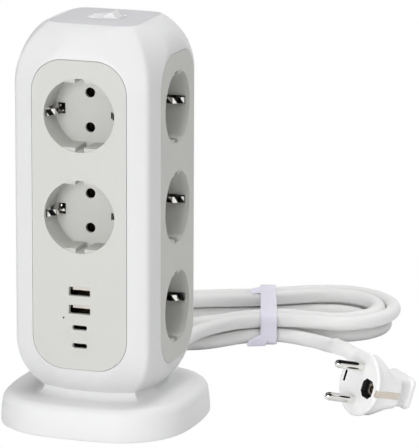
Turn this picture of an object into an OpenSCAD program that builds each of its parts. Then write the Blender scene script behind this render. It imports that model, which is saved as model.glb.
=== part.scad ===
// Tower power strip: a bowed square base carries a four-sided tower with eleven
// earthed wells, four charging ports, a rocker switch on top and a mains lead
// wound into a hank behind it. Front is -Y, the right face is +X, up is +Z.

/* [Tower] */
// Height of the casing above and below its grey panels
panel_margin = 16.9; // [16.5:0.1:18]
// Distance from the tower's axis to its flat faces
face_dist = 41.3; // [41:0.1:44]
// Distance from the axis to the sloping borders beside the faces
border_dist = 47.4; // [47:0.1:50]
// Angle by which the borders slope back from the faces
border_tilt = 17.5; // [16.5:0.5:18.5]
// Distance from the axis to the faces at the tower's two ends
end_face_dist = 25.7; // [25.4:0.1:26.6]
// Distance from the axis to the borders at the tower's two ends
end_border_dist = 29.6; // [29.3:0.1:30.6]
// Height over which a face bends in towards each end
face_bend_h = 19.8; // [18:0.1:20]
// Height over which a border bends in towards each end
border_bend_h = 31.8; // [30:0.1:34]
// Wall of the casing
casing_wall = 2.6; // [2.2:0.1:2.8]
// Thickness of the plate on top
top_plate_t = 2; // [1.8:0.1:2.2]

/* [Panels and wells] */
// Width of a grey panel
panel_w = 53.5; // [53:0.1:54]
// Radius of a panel's corners
panel_r = 17.5; // [15:0.5:19]
// Thickness of a panel's skin
panel_t = 2.6; // [2.4:0.1:3]
// Gap round a panel in its window
panel_gap = 0.25; // [0.15:0.05:0.35]
// Height of the middle well's centre above the middle of the panel
well_rise = -0.3; // [-0.5:0.1:0.5]
// Distance between neighbouring wells
well_pitch = 55.15; // [54.8:0.05:55.4]
// Height of a panel beyond the centre of its last well
well_end = 29.35; // [29:0.05:30]
// Bore of a well
well_d = 40; // [39.6:0.1:40.4]
// Depth of a well
well_depth = 17.5; // [17.2:0.1:17.8]
// Distance between the two pin holes
pin_pitch = 19; // [18.8:0.1:19.2]
// Bore of a pin hole
pin_hole_d = 5.5; // [5.2:0.1:5.8]
// Width of the guide notch at the top and bottom of a well
notch_w = 5; // [4.5:0.1:6]

/* [Charging ports] */
// Height of the lowest port above the panel's lower edge
port_rise = 13.2; // [12.8:0.1:14]
// Distance between neighbouring ports
port_pitch = 10; // [9.8:0.1:10.2]
// Width of a large port's opening
usb_a_w = 12.2; // [12:0.1:12.6]
// Height of a large port's opening
usb_a_h = 5; // [4.6:0.1:5.4]
// Width of a small port's opening
usb_c_w = 8.4; // [8.2:0.1:9]
// Height of a small port's opening
usb_c_h = 2.7; // [2.5:0.1:3]
// Diameter of the indicator light
lamp_d = 1.1; // [0.9:0.1:1.4]

/* [Base] */
// Half of the base's width across the middle of its sides
base_half = 54.2; // [53.6:0.1:56]
// Radius of the base's bowed sides
base_side_r = 146; // [140:1:156]
// Radius of the base's corners
base_corner_r = 37; // [35:0.5:39]
// Height of the base, up to the tower's foot
base_h = 20; // [19.8:0.2:23]
// Wall of the base's shell
base_wall = 2.4; // [2.2:0.1:2.6]
// Thickness of the bottom plate
plate_t = 2; // [1.8:0.1:2.2]
// Diameter of a rubber foot
foot_d = 12; // [10:0.5:14]
// How far the rubber feet stand proud
foot_proud = 0.8; // [0.6:0.1:1]

/* [Rocker switch] */
// Length of the switch's bezel
bezel_l = 19; // [18.8:0.1:20]
// Width of the switch's bezel
bezel_w = 13.6; // [13.4:0.1:14.4]
// Length of the rocker across its flanks
rocker_l = 15.5; // [14.8:0.1:15.8]
// Angle by which the rocker tips to each side of level
rocker_tip = 14; // [13:0.5:15]
// Height of the rocker's middle above its hinge
rocker_crown = 5.2; // [5:0.1:5.4]

/* [Mains lead] */
// Diameter of the lead
cord_d = 8.5; // [8.2:0.1:8.6]
// Length of the tapered sleeve outside the base
sleeve_l = 28; // [26:1:30]
// Width of the tie round the hank
tie_w = 11; // [9:0.5:13]
// Diameter of the plug's face
plug_d = 36.8; // [36.4:0.2:37.2]
// Diameter of the plug's pins
plug_pin_d = 4.8; // [4.7:0.05:4.85]
// Length of the plug's pins
plug_pin_l = 19.3; // [18.5:0.1:19.5]

/* [Hidden] */

$fn = 96;
cut = 1;
seat_gap = 0.2;
side_turns = [0, 90, 180, 270];

panel_h = 2 * (well_pitch + well_end);
tower_h = panel_h + 2 * panel_margin;
foot_z = base_h;
top_z = base_h + tower_h;
mid_z = base_h + tower_h / 2;

// Bends at the tower's ends
face_bend_d = face_dist - end_face_dist;
face_bend_r = (pow(face_bend_d, 2) + pow(face_bend_h, 2)) / (2 * face_bend_d);
border_bend_d = border_dist - end_border_dist;
border_bend_r = (pow(border_bend_d, 2) + pow(border_bend_h, 2)) / (2 * border_bend_d);
bend_steps = 8;
crease_r = 2.5;
crease_steps = 4;

// Seat of the top plate and the tower's foot
plate_rim = 0.5;
plate_r = 7.5;
plate_gap = 0.15;
ledge_w = 3;
ledge_t = 2;
foot_floor_t = 2.6;
wire_hole = 26;
tower_screw_xy = 17;
tower_boss_d = 8;
tower_boss_h = 12;

// Panel fixings: the skin sits in a rebate and hooks catch behind the wall
rebate_t = 1.3;
rebate_w = 1.2;
hook_w = 8;
hook_t = 1.5;
hook_reach = 0.7;
hook_root = 2;
hook_gap = 0.15;

// Wells and their fittings
well_wall = 1.6;
well_floor_t = 2;
pad_drop = 2.4;
pad_recess = 1;
slot_w = 4.5;
slot_front = 1.2;
slot_outer = 22.4;
foot_slot_w = 6;
foot_slot_in = 14.2;
foot_slot_out = 18.2;
clip_w = 3.3;
clip_foot_w = 4.8;
strip_t = 0.8;

// Contact carriers: four wedges that meet round the axis
carrier_half = 13;
carrier_tip = 4.6;
mitre_gap = 0.4;
carrier_over = 8;
cavity_half = 8;
cavity_end = 1.6;
cavity_floor = 9.9;
tab_half = 18.2;
tab_h = 10;
tab_t = 1.8;
tab_screw_x = 15.3;
boss_d = 6;
screw_d = 2.6;
screw_head_d = 4.4;
screw_head_t = 1.4;
screw_bite = 9;

// Contact bars and the links that join them
leaf_gap = 0.1;
leaf_front = 5;
fork_h = 6.4;
bar_x = 4.1;
bar_w = 3.3;
bar_tail = 5;
earth_x = 6;
earth_w = 4;
strap_h = 4;
clip_foot_x = 16.2;
clip_steps = 3;
live_ring = [6, 9];
neutral_ring = [14.5, 17.5];
earth_ring = [22.2, 24.6];
lug_w = 3.4;

// Plan of the tower: eight planes at two distances, the four creases rounded
function crease_arc(turn, d, r) =
    let (half = 45 - border_tilt, c = (d - r) / cos(half))
    [for (i = [0:crease_steps])
        let (a = turn + 45 - half + i / crease_steps * 2 * half)
            [c * cos(turn + 45) + r * cos(a), c * sin(turn + 45) + r * sin(a)]];
function face_edge(turn, f, d, side) =
    let (e = (d - f * cos(border_tilt)) / sin(border_tilt))
    [f * cos(turn) - side * e * sin(turn), f * sin(turn) + side * e * cos(turn)];
function plan(f, d, r) = [
    for (turn = side_turns)
        each concat([face_edge(turn, f, d, -1), face_edge(turn, f, d, 1)], crease_arc(turn, d, r))
];

// One flank of the tower: vertical, then bending in on an arc at both ends
function bend_arc(dist, r, h, inset, at_top) = [
    for (i = [0:bend_steps])
        let (a = (at_top ? i : bend_steps - i) / bend_steps * asin(h / r))
            [dist - r + (r - inset) * cos(a),
             (at_top ? top_z - h : foot_z + h) + (at_top ? 1 : -1) * (r - inset) * sin(a)]
];
function flank(dist, r, h, inset) = concat(
    bend_arc(dist, r, h, inset, false), bend_arc(dist, r, h, inset, true));
function both_sides(pts) = concat(
    pts, [for (i = [len(pts) - 1:-1:0]) [-pts[i][0], pts[i][1]]]);

module flank_slab(turn, dist, r, h, inset) {
    rotate([90, 0, turn])
        linear_extrude(height = 3 * border_dist, center = true)
            polygon(both_sides(flank(dist, r, h, inset)));
}

module tower_form(inset) {
    intersection() {
        translate([0, 0, foot_z]) linear_extrude(height = tower_h)
            polygon(plan(face_dist - inset, border_dist - inset, crease_r));
        flank_slab(0, face_dist, face_bend_r, face_bend_h, inset);
        flank_slab(90, face_dist, face_bend_r, face_bend_h, inset);
        flank_slab(border_tilt, border_dist, border_bend_r, border_bend_h, inset);
        flank_slab(-border_tilt, border_dist, border_bend_r, border_bend_h, inset);
        flank_slab(90 + border_tilt, border_dist, border_bend_r, border_bend_h, inset);
        flank_slab(90 - border_tilt, border_dist, border_bend_r, border_bend_h, inset);
    }
}

module rounded_rect(w, h, r) {
    square([w - 2 * r, h], center = true);
    square([w, h - 2 * r], center = true);
    for (x = [-1, 1], y = [-1, 1])
        translate([x * (w / 2 - r), y * (h / 2 - r)]) circle(r = r);
}

module on_side(turn) {
    rotate([0, 0, turn]) children();
}

// A rounded upright plate whose outer face is that far from the axis
module upright(w, h, r, dist, t) {
    translate([0, -dist, mid_z]) rotate([-90, 0, 0])
        linear_extrude(height = t) rounded_rect(w, h, r);
}

// A rod towards the front, between two distances from the axis
module rod(x, z, d, from, to) {
    translate([x, -from, z]) rotate([-90, 0, 0]) cylinder(d = d, h = from - to);
}

// A box by its middle in X and Z, between two distances from the axis
module block(x, z, w, h, from, to) {
    translate([x - w / 2, -from, z - h / 2]) cube([w, from - to, h]);
}

module corners(x, y) {
    for (i = [-1, 1], j = [-1, 1]) translate([i * x, j * y, 0]) children();
}

// Casing
module top_opening(grow, z, h) {
    translate([0, 0, z]) linear_extrude(height = h)
        polygon(plan(end_face_dist - plate_rim + grow, end_border_dist - plate_rim + grow, plate_r));
}

module panel_window(inset, from, t) {
    upright(panel_w + 2 * (panel_gap - inset), panel_h + 2 * (panel_gap - inset),
            panel_r + panel_gap - inset, from, t);
}

module casing() {
    color("white") difference() {
        union() {
            difference() {
                tower_form(0);
                intersection() {
                    tower_form(casing_wall);
                    translate([-border_dist, -border_dist, foot_z + foot_floor_t])
                        cube([2 * border_dist, 2 * border_dist,
                              tower_h - foot_floor_t - top_plate_t - ledge_t]);
                }
            }
            corners(tower_screw_xy, tower_screw_xy)
                translate([0, 0, foot_z]) cylinder(d = tower_boss_d, h = tower_boss_h);
        }
        top_opening(0, top_z - top_plate_t, top_plate_t + cut);
        top_opening(-ledge_w, top_z - top_plate_t - ledge_t - cut, ledge_t + 2 * cut);
        translate([-wire_hole / 2, -wire_hole / 2, foot_z - cut])
            cube([wire_hole, wire_hole, foot_floor_t + 2 * cut]);
        for (turn = side_turns) on_side(turn) {
            panel_window(0, face_dist + cut, cut + rebate_t);
            panel_window(rebate_w, face_dist, casing_wall + cut);
        }
        corners(tower_screw_xy, tower_screw_xy)
            translate([0, 0, foot_z - cut]) cylinder(d = screw_d, h = screw_bite + cut);
    }
}

// Switch on the top plate
bezel_proud = 0.5;
bezel_x = 0.8;
bezel_r = 1.2;
housing_gap = 0.15;
housing_l = 18;
housing_w = 12.4;
housing_h = 15;
housing_end = 0.5;
housing_side = 1;
housing_floor = 1.2;
hinge_drop = 4.4;
trunnion_d = 3;
run_gap = 0.05;
move_gap = 0.3;
hinge_z = top_z - hinge_drop;
rocker_w = housing_w - 2 * housing_side - 2 * move_gap;
rocker_tip_x = 6.3;
flank_low = 2.5;
skirt_x = 6.5;
skirt_z = 1.4;
plunger_d = 3;
plunger_l = 5.6;
plunger_top = 1.2;
lever_tip = 7;
lever_l = 12;
lever_w = 4;
lever_t = 0.8;
lever_pin_d = 1.6;
lever_drop = 7;
terminal_pitch = 5.6;
terminal_t = 0.8;
terminal_w = 4.8;
terminal_l = 5;
lever_z = hinge_z - lever_drop;
terminal_foot = top_z - housing_h - terminal_l;

module top_plate() {
    color("gainsboro") difference() {
        top_opening(-plate_gap, top_z - top_plate_t, top_plate_t);
        translate([bezel_x, 0, top_z])
            cube([housing_l + 2 * housing_gap, housing_w + 2 * housing_gap, 4 * top_plate_t],
                 center = true);
    }
}

module switch_housing() {
    inner_l = housing_l - 2 * housing_end;
    inner_w = housing_w - 2 * housing_side;
    color("whitesmoke") translate([bezel_x, 0, 0]) difference() {
        union() {
            translate([0, 0, top_z])
                linear_extrude(height = bezel_proud) rounded_rect(bezel_l, bezel_w, bezel_r);
            translate([-housing_l / 2, -housing_w / 2, top_z - housing_h])
                cube([housing_l, housing_w, housing_h]);
        }
        translate([-inner_l / 2, -inner_w / 2, top_z - housing_h + housing_floor])
            cube([inner_l, inner_w, housing_h + cut]);
        translate([0, 0, hinge_z]) rotate([90, 0, 0])
            cylinder(d = trunnion_d + 2 * run_gap, h = 2 * housing_w, center = true);
        for (s = [-1, 0, 1])
            translate([s * terminal_pitch - terminal_t / 2, -terminal_w / 2, top_z - housing_h - cut])
                cube([terminal_t, terminal_w, housing_floor + 2 * cut]);
    }
}

// Rocker: a shallow V on top, hung on two trunnions, drawn with its left wing down
rocker_half = [
    [0, rocker_crown],
    [rocker_tip_x, rocker_crown + rocker_tip_x * tan(rocker_tip)],
    [rocker_l / 2, flank_low],
    [skirt_x, skirt_z],
    [trunnion_d, -trunnion_d / 2]
];

module at_rocker() {
    translate([bezel_x, 0, hinge_z]) rotate([0, -rocker_tip, 0]) children();
}

module switch_rocker() {
    color("white") at_rocker() difference() {
        union() {
            rotate([90, 0, 0]) linear_extrude(height = rocker_w, center = true)
                polygon(both_sides(rocker_half));
            rotate([90, 0, 0])
                cylinder(d = trunnion_d, h = housing_w - 2 * run_gap, center = true);
        }
        translate([0, 0, -trunnion_d])
            cylinder(d = plunger_d + 2 * run_gap, h = trunnion_d + plunger_top);
    }
}

module switch_plunger() {
    color("dimgray") at_rocker() translate([0, 0, plunger_top - plunger_l]) {
        cylinder(d = plunger_d, h = plunger_l);
        sphere(d = plunger_d);
    }
}

// Contact lever under the plunger, tipped the other way from the rocker
module contact_lever() {
    color("goldenrod") translate([bezel_x, 0, lever_z]) rotate([0, lever_tip, 0]) {
        translate([-lever_l / 2, -lever_w / 2, -lever_t / 2]) cube([lever_l, lever_w, lever_t]);
        rotate([90, 0, 0]) cylinder(d = lever_pin_d, h = lever_w, center = true);
    }
}

module switch_terminals() {
    middle_top = lever_z - lever_pin_d / 2 - move_gap;
    side_top = lever_z - lever_l / 2 * sin(lever_tip) - lever_t / 2 - move_gap;
    color("silver") for (s = [-1, 0, 1])
        translate([bezel_x + s * terminal_pitch - terminal_t / 2, -terminal_w / 2, terminal_foot])
            cube([terminal_t, terminal_w, (s == 0 ? middle_top : side_top) - terminal_foot]);
}

// Grey panels with their wells
well_floor = face_dist - well_depth;
floor_back = well_floor - well_floor_t;
carrier_front = floor_back - strip_t;
port_low = mid_z - panel_h / 2 + port_rise;
port_heights = [for (i = [3:-1:0]) port_low + i * port_pitch];
lamp_x = -9.2;
lamp_z = port_low + 1.5 * port_pitch;
usb_c_plate_w = 13.2;
usb_c_plate_h = 8;
board_dist = 26.6;
board_t = 1.6;
board_screw_x = 18;
board_margin = 2;
board_top = mid_z + well_rise - well_d / 2 - well_wall - boss_d / 2 - board_margin;
board_zs = [port_heights[3] - port_pitch / 2, min(port_heights[0] + port_pitch, board_top)];
tab_heights = [mid_z + well_rise - well_pitch / 2, mid_z + well_rise + well_pitch / 2];
function well_heights(turn) = [
    for (k = turn == 0 ? [0, 1] : [-1, 0, 1]) mid_z + well_rise + k * well_pitch];
function tabs(turn) = turn == 0 ? [tab_heights[1]] : tab_heights;

module well_cuts(z) {
    rod(0, z, well_d, face_dist + cut, well_floor);
    for (s = [-1, 1]) {
        rod(0, z + s * pin_pitch / 2, pin_hole_d, well_floor + cut, floor_back - cut);
        block(s * (foot_slot_out + slot_outer) / 2, z, slot_outer - foot_slot_out, slot_w,
              face_dist - slot_front, well_floor);
        block(s * (foot_slot_in + foot_slot_out) / 2, z, foot_slot_out - foot_slot_in,
              foot_slot_w, well_floor + cut, floor_back - cut);
    }
}

// Pads at the top and bottom of a well, with the guide notch between them
module well_pads(z) {
    intersection() {
        rod(0, z, well_d + well_wall, face_dist - pad_recess, floor_back);
        for (s = [-1, 1]) difference() {
            block(0, z + s * well_d / 2, well_d, 2 * pad_drop, face_dist - pad_recess, floor_back);
            block(0, z + s * well_d / 2, notch_w, 4 * pad_drop, face_dist + cut, well_floor);
        }
    }
}

module screw_post(x, z, to) {
    difference() {
        rod(x, z, boss_d, face_dist - panel_t, to);
        rod(x, z, screw_d, to + screw_bite, to - cut);
    }
}

module port_cuts() {
    for (i = [0, 1])
        block(0, port_heights[i], usb_a_w, usb_a_h, face_dist + cut, face_dist - panel_t - cut);
    for (i = [2, 3])
        block(0, port_heights[i], usb_c_plate_w, usb_c_plate_h,
              face_dist + cut, face_dist - panel_t - cut);
    rod(lamp_x, lamp_z, lamp_d, face_dist + cut, face_dist - panel_t - cut);
}

module hook(side, z) {
    inner = panel_w / 2 - rebate_w;
    front = face_dist - casing_wall - hook_gap;
    block(side * (inner - hook_root / 2), z, hook_root, hook_w,
          face_dist - rebate_t, front - hook_t);
    block(side * (inner - hook_root + (hook_root + panel_gap + hook_reach) / 2), z,
          hook_root + panel_gap + hook_reach, hook_w, front, front - hook_t);
}

module panel(turn) {
    on_side(turn) {
        difference() {
            union() {
                upright(panel_w, panel_h, panel_r, face_dist, rebate_t);
                upright(panel_w - 2 * rebate_w, panel_h - 2 * rebate_w, panel_r - rebate_w,
                        face_dist - rebate_t, panel_t - rebate_t);
                for (s = [-1, 1], z = tab_heights) hook(s, z);
            }
            for (z = well_heights(turn)) rod(0, z, well_d, face_dist + cut, floor_back);
            if (turn == 0) port_cuts();
        }
        for (z = well_heights(turn)) {
            difference() {
                rod(0, z, well_d + 2 * well_wall, face_dist - rebate_t, floor_back);
                well_cuts(z);
            }
            well_pads(z);
        }
        for (z = tabs(turn), x = [-1, 1]) screw_post(x * tab_screw_x, z, carrier_front);
        if (turn == 0) for (z = board_zs, x = [-1, 1]) screw_post(x * board_screw_x, z, board_dist);
    }
}

module front_panel() { color("gainsboro") panel(0); }
module right_panel() { color("gainsboro") panel(90); }
module rear_panel() { color("gainsboro") panel(180); }
module left_panel() { color("gainsboro") panel(270); }

// Contact carriers
carrier_low = mid_z + well_rise - well_pitch - pin_pitch / 2 - carrier_over;
carrier_high = mid_z + well_rise + well_pitch + pin_pitch / 2 + carrier_over;

module carrier(turn) {
    color("dimgray") on_side(turn) difference() {
        union() {
            translate([0, 0, carrier_low]) linear_extrude(height = carrier_high - carrier_low)
                polygon(both_sides([[carrier_tip - mitre_gap, -carrier_tip],
                                    [carrier_half, -carrier_half - mitre_gap],
                                    [carrier_half, -carrier_front]]));
            for (z = tabs(turn))
                block(0, z, 2 * tab_half, tab_h, carrier_front, carrier_front - tab_t);
        }
        translate([-cavity_half, -carrier_front - cut, carrier_low + cavity_end])
            cube([2 * cavity_half, carrier_front + cut - cavity_floor,
                  carrier_high - carrier_low - 2 * cavity_end]);
        for (s = [-1, 1])
            block(s * (bar_x + bar_w / 2), carrier_low, bar_w, 2 * (cavity_end + cut),
                  cavity_floor + strip_t, cavity_floor);
        for (z = well_heights(turn), s = [-1, 1])
            rod(0, z + s * pin_pitch / 2, pin_hole_d, carrier_front + cut, 0);
        for (z = tabs(turn), x = [-1, 1])
            rod(x * tab_screw_x, z, screw_d + 2 * seat_gap, carrier_front + cut,
                carrier_front - tab_t - cut);
    }
}

module front_contact_carrier() { carrier(0); }
module right_contact_carrier() { carrier(90); }
module rear_contact_carrier() { carrier(180); }
module left_contact_carrier() { carrier(270); }

// A contact bar: a strip with a two-leaved fork for one pin of each well
bar_low = carrier_low - bar_tail;
bar_high = carrier_high - cavity_end - seat_gap;

module fork(z) {
    leaf_x = plug_pin_d / 2 + leaf_gap;
    difference() {
        block(0, z, 2 * (leaf_x + strip_t), fork_h, cavity_floor + strip_t, cavity_floor);
        rod(0, z, 2 * leaf_x, cavity_floor + strip_t + cut, cavity_floor - cut);
    }
    for (x = [-1, 1])
        block(x * (leaf_x + strip_t / 2), z, strip_t, fork_h, carrier_front - leaf_front, cavity_floor);
}

module contact_bar(turn, pole) {
    on_side(turn) {
        block(pole * (bar_x + bar_w / 2), (bar_low + bar_high) / 2, bar_w, bar_high - bar_low,
              cavity_floor + strip_t, cavity_floor);
        for (z = well_heights(turn)) {
            fork(z + pole * pin_pitch / 2);
            block(pole * bar_x, z + pole * pin_pitch / 2, bar_w, fork_h / 2,
                  cavity_floor + strip_t, cavity_floor);
        }
    }
}

module front_live_bar() { color("goldenrod") contact_bar(0, 1); }
module right_live_bar() { color("goldenrod") contact_bar(90, 1); }
module rear_live_bar() { color("goldenrod") contact_bar(180, 1); }
module left_live_bar() { color("goldenrod") contact_bar(270, 1); }
module front_neutral_bar() { color("goldenrod") contact_bar(0, -1); }
module right_neutral_bar() { color("goldenrod") contact_bar(90, -1); }
module rear_neutral_bar() { color("goldenrod") contact_bar(180, -1); }
module left_neutral_bar() { color("goldenrod") contact_bar(270, -1); }

// An earth clip is a bent strip: a broad foot through the floor, then a spring that
// bulges into the well and curls out at its tip, as [distance from the middle, depth]
clip_bends = [
    [16, 14.5], [15.3, 11.5], [15.1, 8.6], [16.1, 6.6], [17.7, 5.6], [17.4, 4.2], [18.5, 2.8]
];
clip_foot = [[clip_foot_x, -carrier_front], [clip_foot_x, -well_floor - strip_t]];
clip_spring = eased(concat([[clip_foot_x, -well_floor]],
                           [for (b = clip_bends) [b[0], b[1] - face_dist]]), clip_steps);
function strip_outline(path, t) = concat(
    path, [for (i = [len(path) - 1:-1:0]) [path[i][0] + t, path[i][1]]]);

module earth_bar(turn) {
    on_side(turn) {
        block(earth_x + earth_w / 2, (bar_low + bar_high) / 2, earth_w, bar_high - bar_low,
              floor_back, carrier_front);
        for (z = well_heights(turn)) {
            block(0, z, 2 * (clip_foot_x + strip_t), strap_h, floor_back, carrier_front);
            for (s = [0, 1]) mirror([s, 0, 0]) translate([0, 0, z]) {
                linear_extrude(height = clip_foot_w, center = true)
                    polygon(strip_outline(clip_foot, strip_t));
                linear_extrude(height = clip_w, center = true)
                    polygon(strip_outline(clip_spring, strip_t));
            }
        }
    }
}

module front_earth_bar() { color("silver") earth_bar(0); }
module right_earth_bar() { color("silver") earth_bar(90); }
module rear_earth_bar() { color("silver") earth_bar(180); }
module left_earth_bar() { color("silver") earth_bar(270); }

// Links: flat rings under the bars' tails, the inner two with lugs
link_z = bar_low - strip_t;
lug_split = (live_ring[1] + neutral_ring[0]) / 2;
tail_a = atan2(bar_x + bar_w / 2, cavity_floor + strip_t / 2);

module flat_ring(radii) {
    translate([0, 0, link_z]) linear_extrude(height = strip_t)
        difference() {
            circle(r = radii[1]);
            circle(r = radii[0]);
        }
}

module link_lugs(pole, from, to) {
    for (turn = side_turns)
        rotate([0, 0, turn - 90 + pole * tail_a])
            translate([from, -lug_w / 2, link_z]) cube([to - from, lug_w, strip_t]);
}

module live_link() {
    color("goldenrod") {
        flat_ring(live_ring);
        link_lugs(1, live_ring[1] - cut, lug_split + cut);
    }
}

module neutral_link() {
    color("goldenrod") {
        flat_ring(neutral_ring);
        link_lugs(-1, lug_split - cut, neutral_ring[0] + cut);
    }
}

module earth_link() {
    color("silver") flat_ring(earth_ring);
}

// A screw driven towards the front, its head behind what it holds
module back_screw(x, z, head, bite) {
    rod(x, z, screw_head_d, head, head - screw_head_t);
    rod(x, z, screw_d, head + bite, head);
}

module carrier_screws() {
    color("gray") for (turn = side_turns)
        on_side(turn) for (z = tabs(turn), x = [-1, 1])
            back_screw(x * tab_screw_x, z, carrier_front - tab_t, tab_t + screw_bite - cut);
}

// Charging ports on their board behind the front panel
port_front = face_dist - panel_t;
usb_a_lip = 0.5;
usb_c_lip = 0.4;
tongue_t = 1.8;
tongue_w = 11;
tongue_recess = 2;
port_back = 1;
usb_c_tongue_w = 6.6;
usb_c_tongue_t = 0.7;
part_x = 15;
part_gap = 1;
core_w = 11;
core_h = 13;

module usb_board() {
    color("seagreen") difference() {
        block(0, (board_zs[0] + board_zs[1]) / 2, 2 * board_screw_x + boss_d,
              board_zs[1] - board_zs[0] + boss_d, board_dist, board_dist - board_t);
        for (z = board_zs, x = [-1, 1])
            rod(x * board_screw_x, z, screw_d + 2 * seat_gap, board_dist + cut,
                board_dist - board_t - cut);
    }
}

module usb_screws() {
    color("gray") for (z = board_zs, x = [-1, 1])
        back_screw(x * board_screw_x, z, board_dist - board_t, board_t + screw_bite - cut);
}

module port_shell(z, w, h, lip, r) {
    translate([0, -port_front, z]) rotate([-90, 0, 0]) difference() {
        linear_extrude(height = port_front - board_dist)
            rounded_rect(w + 2 * lip, h + 2 * lip, r + lip);
        translate([0, 0, -cut]) linear_extrude(height = port_front - board_dist - port_back + cut)
            rounded_rect(w, h, r);
    }
}

module usb_a_port(z) {
    color("silver") port_shell(z, usb_a_w, usb_a_h, usb_a_lip, usb_a_lip);
    color("ivory")
        block(0, z + usb_a_h / 2 - tongue_t, tongue_w, tongue_t,
              port_front - tongue_recess, board_dist + port_back);
}

module usb_c_port(z) {
    color("silver") port_shell(z, usb_c_w, usb_c_h, usb_c_lip, usb_c_h / 2 - seat_gap);
    color("dimgray")
        block(0, z, usb_c_tongue_w, usb_c_tongue_t, port_front - tongue_recess,
              board_dist + port_back);
}

module usb_a_port_upper() { usb_a_port(port_heights[0]); }
module usb_a_port_lower() { usb_a_port(port_heights[1]); }
module usb_c_port_upper() { usb_c_port(port_heights[2]); }
module usb_c_port_lower() { usb_c_port(port_heights[3]); }

module usb_c_bezels() {
    color("gainsboro") for (i = [2, 3]) difference() {
        block(0, port_heights[i], usb_c_plate_w, usb_c_plate_h, face_dist, face_dist - panel_t);
        translate([0, -face_dist - cut, port_heights[i]]) rotate([-90, 0, 0])
            linear_extrude(height = panel_t + 2 * cut)
                rounded_rect(usb_c_w, usb_c_h, usb_c_h / 2 - seat_gap);
    }
}

module usb_transformer() {
    color("khaki")
        block(part_x, port_heights[1], core_w, core_h, board_dist + core_w, board_dist);
    color("dimgray")
        block(part_x, port_heights[1], core_w + 2 * part_gap, core_h / 2,
              board_dist + core_w - part_gap, board_dist);
}

module indicator_light() {
    color("dimgray") {
        rod(lamp_x, lamp_z, lamp_d, face_dist - seat_gap, board_dist);
        rod(lamp_x, lamp_z, 3 * lamp_d, board_dist + 2 * lamp_d, board_dist);
    }
}

// Base: the plan is a bowed square, given as a distance from the axis at each angle
side_centre = base_side_r - base_half;
corner_xy = (sqrt(2 * pow(base_side_r - base_corner_r, 2) - pow(side_centre, 2)) - side_centre) / 2;
join_a = atan2(corner_xy, corner_xy + side_centre);
tangent_a = atan2(corner_xy + base_corner_r * sin(join_a), corner_xy + base_corner_r * cos(join_a));
function from_side(a) = abs((a + 45) % 90 - 45);
function base_radius(a) =
    let (s = from_side(a), c = corner_xy * sqrt(2), d = 45 - s)
    s < tangent_a
        ? sqrt(pow(base_side_r, 2) - pow(side_centre * sin(s), 2)) - side_centre * cos(s)
        : c * cos(d) + sqrt(pow(base_corner_r, 2) - pow(c * sin(d), 2));
function foot_radius(a) =
    let (s = from_side(a)) min(end_face_dist / cos(s), end_border_dist / cos(s - border_tilt));

// Rings of the shell: how far in from the plan, height, and share of the way to the foot
ring_n = 64;
base_low = foot_proud;
rim_drop = 1.8;
rim_h = base_h - rim_drop;
rim_r = 5.4;
dish_drop = 1.1;
seat_skirt = 1.6;
base_flare = 1;
seat_t = 2.6;
rim_in = base_flare + rim_r + base_wall;
dish_share = 0.5;
skirt_share = 0.82;
outer_rings = [
    [0, base_low, 0], [0, base_low + base_wall, 0], [base_flare, rim_h - rim_r, 0],
    [base_flare + rim_r * (1 - cos(30)), rim_h - rim_r * (1 - sin(30)), 0],
    [base_flare + rim_r * (1 - cos(60)), rim_h - rim_r * (1 - sin(60)), 0],
    [base_flare + rim_r, rim_h, 0],
    [rim_in, rim_h - dish_drop / 2, 0], [rim_in, rim_h - dish_drop, dish_share],
    [rim_in, rim_h - dish_drop / 2, skirt_share], [rim_in, base_h, 1]
];
inner_rings = [
    [base_wall, base_low - cut, 0], [base_wall, rim_h - rim_r, 0],
    [base_flare + rim_r, rim_h - base_wall - dish_drop / 2, 0],
    [rim_in, rim_h - base_wall - dish_drop, dish_share],
    [rim_in, rim_h - base_wall - dish_drop / 2, skirt_share], [rim_in, base_h - seat_t, 1]
];
function plan_ring(ring) = [
    for (i = [0:ring_n - 1])
        let (a = i * 360 / ring_n, start = base_radius(a) - ring[0],
             r = start + ring[2] * (foot_radius(a) + seat_skirt - start))
            [r * cos(a), r * sin(a), ring[1]]
];

// A skin over rings of points, closed at both ends
module skin(rings) {
    n = len(rings[0]);
    last = len(rings) - 1;
    polyhedron([for (ring = rings) each ring], concat(
        [[for (k = [0:n - 1]) k]],
        [for (i = [0:last - 1], k = [0:n - 1])
            let (j = (k + 1) % n, a = i * n, b = a + n) [a + k, b + k, b + j]],
        [for (i = [0:last - 1], k = [0:n - 1])
            let (j = (k + 1) % n, a = i * n, b = a + n) [a + k, b + j, a + j]],
        [[for (k = [n - 1:-1:0]) last * n + k]]));
}

screw_inset = 14.2;
foot_inset = 23.2;
clamp_inset = 18.2;
sheath_inset = 26.2;
base_screw_x = base_half - screw_inset;
base_screw_y = 15;
base_boss_d = 7;
foot_xy = base_half - foot_inset;
foot_sink = 1;
cord_z = 9.4;
sleeve_d = 13.6;
sleeve_tip_d = 10.4;
groove_d = 11.2;
flange_w = 16;
flange_h = 9;
flange_t = 3;
sleeve_in_y = base_half - base_wall - seat_gap;
sheath_y = base_half - sheath_inset;
clamp_y = base_half - clamp_inset;
clamp_w = 26;
clamp_t = 8;
clamp_h = 11.5;
clamp_screw_x = 9;

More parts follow.
